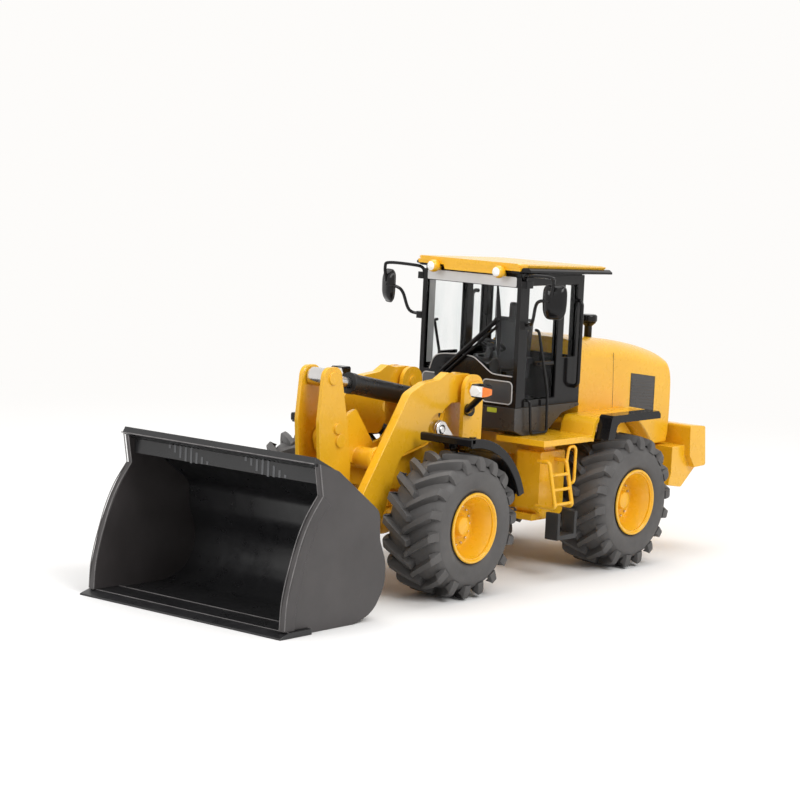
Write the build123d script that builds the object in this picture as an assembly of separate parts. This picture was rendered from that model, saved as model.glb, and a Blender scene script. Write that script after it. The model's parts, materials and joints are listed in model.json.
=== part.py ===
from build123d import *
import os
from math import atan2, cos, degrees, hypot, pi, radians, sin, tan

os.makedirs("parts", exist_ok=True)

# A 1:50 scale model of a mid-size articulated wheel loader, in millimetres.
# +X points forwards to the bucket, +Y to the machine's left, +Z up.
# The origin is on the ground below the steering hitch, midway between the axles.

# ---------------------------------------------------------------- driving sizes
# Clearances
RUNNING_CLEARANCE = 0.05
SIDE_CLEARANCE = 0.3

# Wheels and axles
WHEELBASE = 58.0
TYRE_RADIUS = 15.0
TYRE_WIDTH = 13.6
TYRE_INNER_Y = 12.3
LUG_HEIGHT = 1.5
LUG_COUNT = 18
LUG_SWEEP = 4.4
RIM_RADIUS = 6.45
RIM_WALL = 0.6
RIM_FLANGE_WIDTH = 0.9
RIM_FLANGE_THICKNESS = 0.4
RIM_INSET = 0.1
DISC_DEPTH = 5.2
DISC_THICKNESS = 1.2
WHEEL_BOLT_COUNT = 16
WHEEL_BOLT_CIRCLE = 4.1
WHEEL_BOLT_RADIUS = 0.32
HUB_CAP_RADIUS = 2.5
HUB_CAP_HEIGHT = 2.3
STUB_AXLE_RADIUS = 1.2
STUB_AXLE_TIP = 0.9
AXLE_TUBE_RADIUS = 2.6
BRAKE_DRUM_RADIUS = 4.0
BRAKE_DRUM_WIDTH = 3.8
DIFF_RADIUS = 4.8
TRUNNION_RADIUS = 1.5
TRUNNION_LUG_THICKNESS = 2.0
TRUNNION_LUG_GAP = 1.6

# Steering hitch
HITCH_PIN_RADIUS = 1.4
HITCH_LUG_RADIUS = 3.2
HITCH_LUG_THICKNESS = 1.5
HITCH_UPPER_Z = 23.0
HITCH_LOWER_Z = 10.5
HITCH_GAP = 0.1

# Front frame and loader tower
FRAME_INNER_Y = 5.6
FRAME_PLATE = 1.0
FRONT_FRAME_BACK_X = 4.0
FRONT_FRAME_BOTTOM_Z = 11.0
FRONT_FRAME_NOSE = 6.0
FRONT_SADDLE_HEIGHT = 6.0
TOWER_OUTER_Y = 10.4
TOWER_FLOOR_Z = 19.0
TOWER_EAR_RADIUS = 3.1
ARM_PIVOT_X = 13.0
ARM_PIVOT_Z = 41.3
ARM_PIN_RADIUS = 1.1
FENDER_THICKNESS = 0.8
FENDER_GAP = 2.2
FENDER_LIP = 1.9
FENDER_LIP_WIDTH = 0.6
FENDER_BRACKET_Z = 29.3
FENDER_BRACKET_HEIGHT = 1.4
FENDER_FRONT_ANGLE = 86
FENDER_BACK_ANGLE = 162
LAMP_X = 21.4
LAMP_Y = 19.8
LAMP_Z = 42.2
LAMP_HEIGHT = 2.8
LENS_THICKNESS = 0.6

# Lift arms
ARM_INNER_Y = 7.3
ARM_THICKNESS = 2.0
ARM_POCKET_DEPTH = 1.1
CROSS_TUBE_X = 38.8
CROSS_TUBE_Z = 27.6
CROSS_TUBE_RADIUS = 2.3
BUCKET_PIVOT_X = 53.0
BUCKET_PIVOT_Z = 9.8
BUCKET_PIN_RADIUS = 1.2

# Lift cylinders
LIFT_BASE_X = 7.0
LIFT_BASE_Z = 23.0
LIFT_EYE_X = 21.9
LIFT_EYE_Z = 33.1
LIFT_BARREL_RADIUS = 1.3
LIFT_BARREL_LENGTH = 14.0
LIFT_ROD_RADIUS = 0.65
LIFT_BASE_EYE_RADIUS = 1.7
LIFT_EYE_RADIUS = 1.9
LIFT_PIN_RADIUS = 0.8
LIFT_EYE_TRAVEL = 1.5

# Tilt linkage
LEVER_PIVOT_X = 46.8
LEVER_PIVOT_Z = 31.8
LEVER_TOP_X = 49.6
LEVER_TOP_Z = 44.7
LEVER_FOOT_X = 45.6
LEVER_FOOT_Z = 18.4
LEVER_INNER_Y = 2.45
LEVER_THICKNESS = 0.95
LEVER_PIN_RADIUS = 1.0
LEVER_BOSS_HEIGHT = 0.35
LINK_PIN_SETBACK = 1.9
LINK_PIN_Z = 15.4
LINK_PIN_RADIUS = 0.9
LINK_EYE_RADIUS = 1.9
LINK_HALF_HEIGHT = 1.3
BRACKET_INNER_Y = 1.2
BRACKET_THICKNESS = 0.9
TILT_BASE_X = 14.5
TILT_BASE_Z = 37.8
TILT_BARREL_RADIUS = 2.1
TILT_BARREL_LENGTH = 27.0
TILT_COLLAR = 0.15
TILT_ROD_RADIUS = 1.1
TILT_EYE_RADIUS = 1.9

# Bucket
BUCKET_SETBACK = 5.1
BUCKET_LENGTH = 30.8
BUCKET_HALF_WIDTH = 26.2
BUCKET_WALL = 0.9
BUCKET_SIDE = 1.0
BUCKET_EAR_THICKNESS = 1.2
LINK_EAR_THICKNESS = 1.0
BUCKET_RIM_WIDTH = 2.8
BUCKET_RIM_THICKNESS = 0.45
EDGE_DEPTH = 8.9
EDGE_OVERHANG = 1.1
EDGE_THICKNESS = 1.1
SLOTS_PER_GROUP = 8
SLOT_PITCH = 1.15
SLOT_WIDTH = 0.5
SLOT_LENGTH = 2.6

# Steering cylinders
STEER_BASE_X = -10.5
STEER_BASE_Y = 6.5
STEER_EYE_X = 8.5
STEER_EYE_Y = 9.3
STEER_Z = 16.5
STEER_BARREL_RADIUS = 1.25
STEER_BARREL_LENGTH = 12.0
STEER_ROD_RADIUS = 0.6
STEER_PIN_RADIUS = 0.8
STEER_EYE_RADIUS = 1.4
STEER_EYE_THICKNESS = 1.8
STEER_LUG_THICKNESS = 0.9
STEER_LUG_RADIUS = 1.9

# Rear frame, tanks and platforms
REAR_FRAME_FRONT_X = -13.0
REAR_FRAME_HALF_WIDTH = 8.5
REAR_FRAME_BOTTOM_Z = 12.5
REAR_FRAME_TOP_Z = 29.0
REAR_ARCH_GAP = 2.0
TANK_FRONT_X = -3.5
TANK_LENGTH = 9.0
TANK_INNER_Y = 11.2
TANK_OUTER_Y = 17.6
TANK_BOTTOM_Z = 12.5
TANK_TOP_Z = 27.2
PLATFORM_TOP_Z = 30.4
PLATFORM_FRONT_X = 0.8
PLATFORM_THICKNESS = 1.3
PLATFORM_HALF_WIDTH = 21.5
SHOULDER_GAP = 3.2
SHOULDER_FRONT = 12.0
SHOULDER_BACK = 12.5
SHOULDER_THICKNESS = 1.0
SHOULDER_HANGER = 1.2
TRIM_WIDTH = 3.5
TRIM_DEPTH = 1.9

# Hood and counterweight
HOOD_SETBACK = 1.2
HOOD_OVERHANG = 32.0
HOOD_HALF_WIDTH = 12.8
HOOD_FRONT_TOP_Z = 50.4
HOOD_BACK_TOP_Z = 45.8
GRILLE_FROM_BACK = 7.5
GRILLE_LENGTH = 10.0
GRILLE_BOTTOM_Z = 33.4
GRILLE_HEIGHT = 7.8
GRILLE_DEPTH = 0.9
GRILLE_THICKNESS = 0.55
REAR_GRILLE_HALF_WIDTH = 9.4
REAR_GRILLE_BOTTOM_Z = 28.2
REAR_GRILLE_TOP_Z = 42.6
REAR_GRILLE_DEPTH = 1.3
PRECLEANER_X = -38.5
PRECLEANER_Y = 3.6
PRECLEANER_TOP_Z = 54.9
PRECLEANER_RADIUS = 2.0
PRECLEANER_HEIGHT = 1.9
PRECLEANER_STEM_RADIUS = 0.9
COUNTERWEIGHT_HALF_WIDTH = 18.0
COUNTERWEIGHT_LENGTH = 9.0
COUNTERWEIGHT_TOP_Z = 24.3
TOW_SLOT_HALF_WIDTH = 2.2

# Cab
CAB_FRONT_X = 1.2
CAB_LENGTH = 23.2
CAB_HALF_WIDTH = 13.6
CAB_FLOOR_Z = 36.6
CAB_TOP_Z = 65.0
PILLAR = 2.2
A_PILLAR_WIDTH = 1.1
A_PILLAR_DEPTH = 3.2
HEADER = 2.4
DOOR_LENGTH = 15.2
SILL_HEIGHT = 10.4
FRONT_SILL_HEIGHT = 6.4
DOOR_SILL_HEIGHT = 1.6
GLASS = 0.5
GLASS_INSET = 0.5
HANDLE_LENGTH = 6.2
HANDLE_HEIGHT = 0.8
ROOF_FRONT_OVERHANG = 1.4
ROOF_BACK_OVERHANG = 9.0
ROOF_SIDE_OVERHANG = 2.2
ROOF_GAP = 0.7
ROOF_THICKNESS = 2.2
WORK_LIGHT_RADIUS = 1.25
WORK_LIGHT_LENGTH = 3.0
WORK_LIGHT_Y = 9.0
SEAT_SETBACK = 5.4
SEAT_HALF_WIDTH = 4.6
SEAT_HEIGHT = 4.0
SEAT_CUSHION = 2.6
SEAT_BACK_HEIGHT = 18.0
HEADREST_HEIGHT = 21.4
HEADREST_HALF_WIDTH = 1.1
STEERING_WHEEL_RADIUS = 3.0
STEERING_RIM_RADIUS = 0.35
COLUMN_RADIUS = 0.7

# Cab fittings
MIRROR_REACH = 7.0
MIRROR_WIDTH = 4.2
MIRROR_HEIGHT = 6.6
MIRROR_THICKNESS = 1.3
MIRROR_ARM_RADIUS = 0.35
DOOR_RAIL_RADIUS = 0.32
DOOR_RAIL_STAND = 1.0
BACK_RAIL_RADIUS = 0.45
BACK_RAIL_STAND = 1.8
WIPER_ARM_RADIUS = 0.42
WIPER_BLADE_LENGTH = 15.4
WIPER_Y = 7.1

# Ladders
LADDER_FRONT_X = -2.7
LADDER_WIDTH = 6.2
LADDER_TOP_Z = 25.4
LADDER_HEIGHT = 9.8
LADDER_STAND = 3.0
LADDER_LEAN = 2.2
LADDER_BAR = 0.9
RUNG_COUNT = 3
STEP_BOTTOM_Z = 8.8
STEP_WALL = 0.9

# Places that follow from the sizes above
SIDES = {"left": 1, "right": -1}
FRONT_AXLE_X = WHEELBASE / 2
REAR_AXLE_X = -WHEELBASE / 2
AXLE_Z = TYRE_RADIUS
TYRE_OUTER_Y = TYRE_INNER_Y + TYRE_WIDTH
RIM_FLANGE_RADIUS = RIM_RADIUS + RIM_FLANGE_WIDTH
FRONT_SADDLE_Z = AXLE_Z + FRONT_SADDLE_HEIGHT
FRONT_FRAME_NOSE_X = FRONT_AXLE_X + FRONT_FRAME_NOSE
FRAME_FACE_Y = FRAME_INNER_Y + FRAME_PLATE
TOWER_FACE_Y = TOWER_OUTER_Y + FRAME_PLATE
TOWER_FRONT_X = ARM_PIVOT_X + 3.5
TOWER_REAR_X = ARM_PIVOT_X - 3.0
ARM_OUTER_Y = ARM_INNER_Y + ARM_THICKNESS
ARM_POCKET_Y = ARM_OUTER_Y - ARM_POCKET_DEPTH
LEVER_OUTER_Y = LEVER_INNER_Y + LEVER_THICKNESS
LINK_HALF_WIDTH = LEVER_INNER_Y - SIDE_CLEARANCE
LINK_EYE_Y = LINK_HALF_WIDTH + 1.0
BUCKET_BACK_X = BUCKET_PIVOT_X + BUCKET_SETBACK
LINK_PIN_X = BUCKET_BACK_X - LINK_PIN_SETBACK
EDGE_TIP_X = BUCKET_BACK_X + BUCKET_LENGTH
EDGE_BACK_X = EDGE_TIP_X - EDGE_DEPTH
BUCKET_INNER_Y = BUCKET_HALF_WIDTH - BUCKET_SIDE
TRUNNION_REACH = DIFF_RADIUS + TRUNNION_LUG_GAP + TRUNNION_LUG_THICKNESS
ARCH_TOP_Z = AXLE_Z + DIFF_RADIUS + REAR_ARCH_GAP
TANK_BACK_X = TANK_FRONT_X - TANK_LENGTH
PLATFORM_BOTTOM_Z = PLATFORM_TOP_Z - PLATFORM_THICKNESS
SHOULDER_BOTTOM_Z = 2 * TYRE_RADIUS + SHOULDER_GAP
SHOULDER_FRONT_X = REAR_AXLE_X + SHOULDER_FRONT
SHOULDER_BACK_X = REAR_AXLE_X - SHOULDER_BACK
CAB_BACK_X = CAB_FRONT_X - CAB_LENGTH
PILLAR_B_X = CAB_FRONT_X - DOOR_LENGTH
SILL_TOP_Z = CAB_FLOOR_Z + SILL_HEIGHT
HOOD_FRONT_X = CAB_BACK_X - HOOD_SETBACK
HOOD_BACK_X = REAR_AXLE_X - HOOD_OVERHANG
REAR_FRAME_BACK_X = HOOD_BACK_X + 3.0
GRILLE_BACK_X = HOOD_BACK_X + GRILLE_FROM_BACK
GRILLE_FRONT_X = GRILLE_BACK_X + GRILLE_LENGTH
COUNTERWEIGHT_BACK_X = HOOD_BACK_X - COUNTERWEIGHT_LENGTH
ROOF_BOTTOM_Z = CAB_TOP_Z + ROOF_GAP
ROOF_TOP_Z = ROOF_BOTTOM_Z + ROOF_THICKNESS
LADDER_BACK_X = LADDER_FRONT_X - LADDER_WIDTH
LADDER_FOOT_Z = LADDER_TOP_Z - LADDER_HEIGHT
LADDER_TOP_Y = TANK_OUTER_Y + LADDER_STAND
LADDER_FOOT_Y = LADDER_TOP_Y + LADDER_LEAN


# ---------------------------------------------------------------- shape helpers
def box(x0, x1, y0, y1, z0, z1):
    """Block between two corners."""
    block = Box(x1 - x0, y1 - y0, z1 - z0, align=(Align.MIN, Align.MIN, Align.MIN))
    return Pos(x0, y0, z0) * block


def rod(start, end, radius):
    """Round bar from one point to another."""
    a = Vector(*start)
    b = Vector(*end)
    plane = Plane(origin=a, z_dir=b - a)
    bar = Cylinder(radius, (b - a).length, align=(Align.CENTER, Align.CENTER, Align.MIN))
    return plane * bar


def rod_y(x, z, radius, y0, y1):
    """Round bar across the machine."""
    return rod((x, y0, z), (x, y1, z), radius)


def disc_z(x, y, z, radius, height):
    """Upright round disc standing on a point."""
    return rod((x, y, z), (x, y, z + height), radius)


def rounded_wire(points):
    """Closed outline in the XZ plane; a third number rounds that corner."""
    corners = [(Vector(p[0], 0, p[1]), p[2] if len(p) > 2 else 0) for p in points]
    edges = []
    starts = []
    ends = []
    for i, (corner, radius) in enumerate(corners):
        before = (corners[i - 1][0] - corner).normalized()
        after = (corners[(i + 1) % len(corners)][0] - corner).normalized()
        if radius == 0:
            starts.append(corner)
            ends.append(corner)
            continue
        half = radians(before.get_angle(after)) / 2
        reach = radius / tan(half)
        starts.append(corner + before * reach)
        ends.append(corner + after * reach)
        middle = corner + (before + after).normalized() * (radius / sin(half) - radius)
        edges.append(ThreePointArc(starts[i], middle, ends[i]))
    for i in range(len(corners)):
        following = starts[(i + 1) % len(corners)]
        if (following - ends[i]).length > 1e-6:
            edges.append(Line(ends[i], following))
    return Wire(edges)


def plate(points, y0, y1):
    """Flat plate with an XZ outline, between two Y values."""
    face = Face(rounded_wire(points))
    return Pos(0, y0, 0) * extrude(face, amount=y1 - y0, dir=(0, 1, 0))


def around(x, z, points):
    """Outline points given as offsets from one place."""
    return [(x + dx, z + dz, *bend) for dx, dz, *bend in points]


def strip(points, radius, width, y0, y1):
    """Bent strip whose centre line runs through XZ points, between two Y values."""
    line = FilletPolyline(*points, radius=radius)
    face = Rot(90, 0, 0) * trace(line, line_width=width)
    return Pos(0, y0, 0) * extrude(face, amount=y1 - y0, dir=(0, 1, 0))


def ring_y(profile):
    """Solid of revolution about the Y axis from (radius, y) points."""
    face = make_face(Polyline(*profile, close=True))
    return revolve(face, Axis.Y, 360)


def tube_path(points, bend, radius):
    """Bent round bar along 3-D points."""
    line = FilletPolyline(*points, radius=bend)
    start = line @ 0
    section = Plane(origin=start, z_dir=line % 0) * Circle(radius)
    return sweep(section, path=line)


def mirrored(shape, side):
    """The left-hand shape, or its mirror image for the right."""
    return shape if side > 0 else mirror(shape, about=Plane.XZ)


def both(shape):
    """Left-hand solids and their mirror images."""
    return [shape, mirror(shape, about=Plane.XZ)]


def save(name, solids):
    """Write one node's solids, flattened into a plain list."""
    if not isinstance(solids, (list, tuple)):
        solids = [solids]
    flat = [solid for item in solids for solid in item.solids()]
    shape = flat[0] if len(flat) == 1 else Compound(children=flat)
    shape.label = name
    export_step(shape, f"parts/{name}.step")


# ---------------------------------------------------------------- wheels
def make_tyre():
    """Bar-lug tyre about the Y axis, inner side at y = 0."""
    carcass = TYRE_RADIUS - LUG_HEIGHT
    width = TYRE_WIDTH
    bead = RIM_INSET + RIM_FLANGE_THICKNESS
    seat = RIM_FLANGE_RADIUS + 2 * RUNNING_CLEARANCE
    wall = [(seat, bead), (seat, 0.2), (carcass - 3.0, 0.0), (carcass - 0.9, 0.7), (carcass, width * 0.28)]
    far_wall = [(radius, width - y) for radius, y in reversed(wall)]
    body = ring_y([(RIM_RADIUS, bead)] + wall + far_wall + [(RIM_RADIUS, width - bead)])
    crown = [(carcass - 2.0, 0.4), (carcass - 0.3, 0.0), (TYRE_RADIUS - 0.6, 0.25), (TYRE_RADIUS, width * 0.22)]
    tread = ring_y(crown + [(radius, width - y) for radius, y in reversed(crown)])
    half = width / 2
    bar = make_face(Polyline(
        (-0.6, half + 0.5), (1.0, half + 0.5), (1.1 - LUG_SWEEP, -0.2), (-1.1 - LUG_SWEEP, -0.2), close=True))
    core = Pos(0, half, 0) * Rot(90, 0, 0) * Cylinder(carcass - 1.9, width + 4)
    lug = (extrude(bar, amount=TYRE_RADIUS + 1) - core) & tread
    far_lug = Rot(0, 180 / LUG_COUNT, 0) * mirror(lug, about=Plane.XZ.offset(-half))
    lugs = []
    for i in range(LUG_COUNT):
        turn = Rot(0, 360 * i / LUG_COUNT, 0)
        lugs += [turn * lug, turn * far_lug]
    return body.fuse(*lugs)


def make_rim():
    """Deep-dish rim about the Y axis, inner side at y = 0."""
    width = TYRE_WIDTH
    inside = RIM_RADIUS - RIM_WALL
    disc_y = width - DISC_DEPTH
    back_y = disc_y - DISC_THICKNESS
    bore = STUB_AXLE_RADIUS + RUNNING_CLEARANCE
    bead = RIM_INSET + RIM_FLANGE_THICKNESS
    cap_y = disc_y + HUB_CAP_HEIGHT
    shell = ring_y([
        (inside, RIM_INSET), (RIM_FLANGE_RADIUS, RIM_INSET),
        (RIM_FLANGE_RADIUS, bead), (RIM_RADIUS, bead),
        (RIM_RADIUS, width - bead), (RIM_FLANGE_RADIUS, width - bead),
        (RIM_FLANGE_RADIUS, width - RIM_INSET), (RIM_RADIUS, width - RIM_INSET),
        (inside, width - 1.2), (inside, disc_y + 2.4),
        (inside - 1.0, disc_y + 2.1), (inside - 1.0, disc_y),
        (HUB_CAP_RADIUS + 0.4, disc_y), (HUB_CAP_RADIUS, disc_y + 0.6),
        (HUB_CAP_RADIUS - 0.2, cap_y - 0.4), (HUB_CAP_RADIUS - 0.9, cap_y),
        (0, cap_y), (0, cap_y - 1.1), (bore, cap_y - 1.1), (bore, 2.0),
        (bore + 1.0, 2.0), (bore + 1.0, back_y), (inside, back_y)])
    bolts = []
    for i in range(WHEEL_BOLT_COUNT):
        angle = 2 * pi * i / WHEEL_BOLT_COUNT
        x = WHEEL_BOLT_CIRCLE * cos(angle)
        z = WHEEL_BOLT_CIRCLE * sin(angle)
        bolts.append(rod_y(x, z, WHEEL_BOLT_RADIUS, disc_y - 0.2, disc_y + 0.45))
    return shell.fuse(*bolts)


def wheels():
    """Four tyres and four rims at the ends of both axles."""
    tyre = make_tyre()
    rim = make_rim()
    for end, x in (("front", FRONT_AXLE_X), ("rear", REAR_AXLE_X)):
        for name, side in SIDES.items():
            place = Pos(x, TYRE_INNER_Y, AXLE_Z)
            save(f"tyre_{end}_{name}", mirrored(place * tyre, side))
            save(f"rim_{end}_{name}", mirrored(place * rim, side))


# ---------------------------------------------------------------- axles
def make_axle(x):
    """Axle housing with differential, brake drums and stub axles for the wheels."""
    z = AXLE_Z
    tube_end = TYRE_INNER_Y - SIDE_CLEARANCE
    stub_end = TYRE_OUTER_Y - DISC_DEPTH + STUB_AXLE_TIP
    drum_end = tube_end - 0.6
    housing = rod_y(x, z, AXLE_TUBE_RADIUS, -tube_end, tube_end)
    parts = [Pos(x, 0, z) * Sphere(DIFF_RADIUS)]
    for s in (-1, 1):
        parts.append(rod_y(x, z, BRAKE_DRUM_RADIUS, s * (drum_end - BRAKE_DRUM_WIDTH), s * drum_end))
        parts.append(rod_y(x, z, STUB_AXLE_RADIUS, s * (tube_end - 1), s * stub_end))
    return housing.fuse(*parts)


def axles():
    """Front axle bolted up solid; rear axle hung on two trunnions along X."""
    pad_x = DIFF_RADIUS - 1.8
    pad_y = FRAME_INNER_Y - 1.0
    pads = box(FRONT_AXLE_X - pad_x, FRONT_AXLE_X + pad_x, -pad_y, pad_y,
               AXLE_Z + AXLE_TUBE_RADIUS - 0.6, FRONT_SADDLE_Z)
    save("front_axle", make_axle(FRONT_AXLE_X) + pads)
    trunnion = rod((REAR_AXLE_X - TRUNNION_REACH, 0, AXLE_Z), (REAR_AXLE_X + TRUNNION_REACH, 0, AXLE_Z),
                   TRUNNION_RADIUS)
    save("rear_axle", make_axle(REAR_AXLE_X) + trunnion)


# ---------------------------------------------------------------- front frame
def steering_lug(side):
    """Pair of flat lugs beside the front frame that hold a steering rod eye."""
    lugs = []
    for direction in (-1, 1):
        near = STEER_EYE_THICKNESS / 2 + SIDE_CLEARANCE
        far = near + STEER_LUG_THICKNESS
        z0, z1 = sorted((STEER_Z + direction * near, STEER_Z + direction * far))
        disc = disc_z(STEER_EYE_X, side * STEER_EYE_Y, z0, STEER_LUG_RADIUS, z1 - z0)
        root_y = sorted((side * (FRAME_FACE_Y - 0.2), side * STEER_EYE_Y))
        root = box(STEER_EYE_X - STEER_LUG_RADIUS, STEER_EYE_X + STEER_LUG_RADIUS, *root_y, z0, z1)
        lugs.append(disc + root)
    return lugs


def front_frame():
    """Welded box with hitch lugs, saddle for the axle and the four-plate tower."""
    back = FRONT_FRAME_BACK_X
    bottom = FRONT_FRAME_BOTTOM_Z
    nose = FRONT_FRAME_NOSE_X
    deck = FRONT_SADDLE_Z
    face = FRAME_FACE_Y
    floor = TOWER_FLOOR_Z
    ear = TOWER_EAR_RADIUS
    inner_ear = around(ARM_PIVOT_X, ARM_PIVOT_Z, [(ear, ear, ear - 0.05), (-ear, ear, ear - 0.05)])
    outer_ear = around(ARM_PIVOT_X, ARM_PIVOT_Z, [(ear + 0.2, ear, ear), (-ear, ear, ear)])
    side_outline = [
        (back, bottom, 1), (FRONT_AXLE_X - 9.0, bottom, 1), (FRONT_AXLE_X - 5.6, deck, 1), (nose, deck, 1),
        (nose, deck + 5.5, 2), (FRONT_AXLE_X - 7.0, deck + 8.5, 3), (TOWER_FRONT_X + 0.4, 35.0, 4),
        *inner_ear, (TOWER_REAR_X - 0.6, 34.0, 3), (back, 27.5, 2)]
    outer_outline = [(back + 0.6, floor, 1), (TOWER_FRONT_X, floor, 1), *outer_ear,
                     (TOWER_REAR_X, 29.5, 2), (back + 0.6, 26.5, 2)]
    solid = box(back, FRONT_AXLE_X - 9.0, -face, face, bottom, bottom + 1.4)
    parts = [box(FRONT_AXLE_X - 8.5, nose - 1, -face, face, deck, deck + 1.2),
             box(FRONT_AXLE_X - 5.0, FRONT_AXLE_X - 3.8, -face, face, deck, deck + 6.5),
             box(nose - 1.6, nose - 0.4, -face, face, deck, deck + 4.5),
             box(back, back + 1.2, -face, face, bottom, 27.0)]
    for side in (1, -1):
        inner = plate(side_outline, FRAME_INNER_Y, face)
        outer = plate(outer_outline, TOWER_OUTER_Y, TOWER_FACE_Y)
        shelf = box(back + 0.6, TOWER_FRONT_X, FRAME_INNER_Y, TOWER_FACE_Y, floor, floor + FRAME_PLATE)
        pin = rod_y(LIFT_BASE_X, LIFT_BASE_Z, LIFT_PIN_RADIUS, FRAME_INNER_Y, TOWER_FACE_Y + 0.4)
        cap_radius = LIFT_PIN_RADIUS + 0.7
        cap = rod_y(LIFT_BASE_X, LIFT_BASE_Z, cap_radius, TOWER_OUTER_Y, TOWER_FACE_Y + 0.3)
        parts += [mirrored(piece, side) for piece in (inner, outer, shelf, pin, cap)]
        parts += steering_lug(side)
    for level in (HITCH_UPPER_Z, HITCH_LOWER_Z):
        z = level + HITCH_LUG_THICKNESS + HITCH_GAP
        parts.append(disc_z(0, 0, z, HITCH_LUG_RADIUS, HITCH_LUG_THICKNESS))
        parts.append(box(0, back + 1, -HITCH_LUG_RADIUS, HITCH_LUG_RADIUS, z, z + HITCH_LUG_THICKNESS))
    solid = solid.fuse(*parts)
    top = HITCH_UPPER_Z + 4 * HITCH_LUG_THICKNESS
    solid -= rod((0, 0, HITCH_LOWER_Z), (0, 0, top), HITCH_PIN_RADIUS + RUNNING_CLEARANCE)
    solid -= rod_y(ARM_PIVOT_X, ARM_PIVOT_Z, ARM_PIN_RADIUS, -TOWER_FACE_Y - 1, TOWER_FACE_Y + 1)
    save("front_frame", solid)

    pin = rod_y(ARM_PIVOT_X, ARM_PIVOT_Z, ARM_PIN_RADIUS, FRAME_INNER_Y - SIDE_CLEARANCE, TOWER_FACE_Y + 0.4)
    half = ARM_PIN_RADIUS + 0.7
    corners = [(-half, -1.0, 0.6), (half, -1.0, 0.6), (half, 1.6, 0.6), (-half, 1.6, 0.6)]
    keeper = plate(around(ARM_PIVOT_X, ARM_PIVOT_Z, corners), TOWER_FACE_Y, TOWER_FACE_Y + 0.5)
    save("arm_pivot_pins", both(pin + keeper))


def fender_arch(inner, outer, y0, y1):
    """Part of a ring round the front axle, between the fender's two end angles."""
    reach = 2 * outer
    middle = (FENDER_FRONT_ANGLE + FENDER_BACK_ANGLE) / 2
    spokes = [radians(angle) for angle in (FENDER_FRONT_ANGLE, middle, FENDER_BACK_ANGLE)]
    corners = [(0, 0)] + [(reach * cos(angle), reach * sin(angle)) for angle in spokes]
    wedge = plate(around(FRONT_AXLE_X, AXLE_Z, corners), y0, y1)
    ring = rod_y(FRONT_AXLE_X, AXLE_Z, outer, y0, y1) - rod_y(FRONT_AXLE_X, AXLE_Z, inner, y0, y1)
    return ring & wedge


def front_fenders():
    """Arched fender over each front tyre, with a lip and a bracket to the tower."""
    inner = TYRE_RADIUS + FENDER_GAP
    outer = inner + FENDER_THICKNESS
    lip_y = TYRE_OUTER_Y - 1.0
    skin = fender_arch(inner, outer, TYRE_INNER_Y - SIDE_CLEARANCE, lip_y - FENDER_LIP_WIDTH / 2)
    lip = fender_arch(outer + 0.3 - FENDER_LIP, outer + 0.3, lip_y - FENDER_LIP_WIDTH, lip_y)
    bracket = box(ARM_PIVOT_X + 0.5, FRONT_AXLE_X - 6.5, TOWER_FACE_Y, TYRE_INNER_Y + 0.5,
                  FENDER_BRACKET_Z, FENDER_BRACKET_Z + FENDER_BRACKET_HEIGHT)
    for name, side in SIDES.items():
        save(f"front_fender_{name}", mirrored(skin.fuse(lip, bracket), side))


def headlights():
    """Lamp on a stalk outside each tower plate, with a clear lens and an amber one."""
    half = LAMP_HEIGHT / 2
    lens_half = half - 0.2
    amber_half = half - 0.3
    face = LAMP_X + 0.8
    edge = LAMP_Y + 1.4
    housing = box(LAMP_X - 1.6, face, LAMP_Y - 2.2, edge, LAMP_Z - half, LAMP_Z + half)
    housing = fillet(housing.edges().filter_by(Axis.X), 0.5)
    foot_x = ARM_PIVOT_X + 2.0
    foot_z = ARM_PIVOT_Z - 4.3
    route = [(foot_x, TOWER_FACE_Y + 0.7, foot_z), (foot_x + 3.6, TOWER_FACE_Y + 2.6, foot_z + 0.4),
             (LAMP_X - 0.6, LAMP_Y - 0.4, LAMP_Z - 1.0)]
    stalk = tube_path(route, 1.5, 0.7)
    foot = rod((foot_x, TOWER_FACE_Y, foot_z), (foot_x, TOWER_FACE_Y + 0.9, foot_z), 1.3)
    save("headlight_housings", both(housing.fuse(stalk, foot)))
    lens_y = LAMP_Y + 0.6
    lens = box(face, face + LENS_THICKNESS, LAMP_Y - 2.0, lens_y, LAMP_Z - lens_half, LAMP_Z + lens_half)
    save("headlight_lenses", both(lens))
    amber = box(LAMP_X - 0.9, face + 0.5, edge, edge + 0.7, LAMP_Z - amber_half, LAMP_Z + amber_half)
    corner = box(face, face + 0.5, lens_y, edge + 0.1, LAMP_Z - amber_half, LAMP_Z + amber_half)
    save("indicator_lenses", both(amber + corner))


# ---------------------------------------------------------------- loader arms
def arm_outline():
    """Side view of a lift arm, each stretch given from the joint that it belongs to."""
    boss = TOWER_EAR_RADIUS
    pivot = around(ARM_PIVOT_X, ARM_PIVOT_Z,
                   [(-boss, boss, boss - 0.05), (4.0, 3.1, 1), (6.6, 3.7, 1), (9.4, 2.3, 1), (14.0, 1.9, 2)])
    crest = around(CROSS_TUBE_X, CROSS_TUBE_Z, [(-6.8, 13.6, 3)])
    tip = around(BUCKET_PIVOT_X, BUCKET_PIVOT_Z,
                 [(-6.6, 10.4, 8), (3.3, 1.8, 2.6), (0.6, -3.6, 2.6), (-12.6, 3.0, 5)])
    belly = around(CROSS_TUBE_X, CROSS_TUBE_Z, [(-4.8, 1.0, 5)])
    notch = around(LIFT_EYE_X, LIFT_EYE_Z,
                   [(3.5, -2.5, 2), (-0.5, -2.9, 2.0), (-2.7, 0.5, 1.4), (-0.5, 3.3, 1.2)])
    root = around(ARM_PIVOT_X, ARM_PIVOT_Z, [(5.0, -2.9, 1.5), (-boss, -boss, boss - 0.05)])
    return pivot + crest + tip + belly + notch + root


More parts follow.
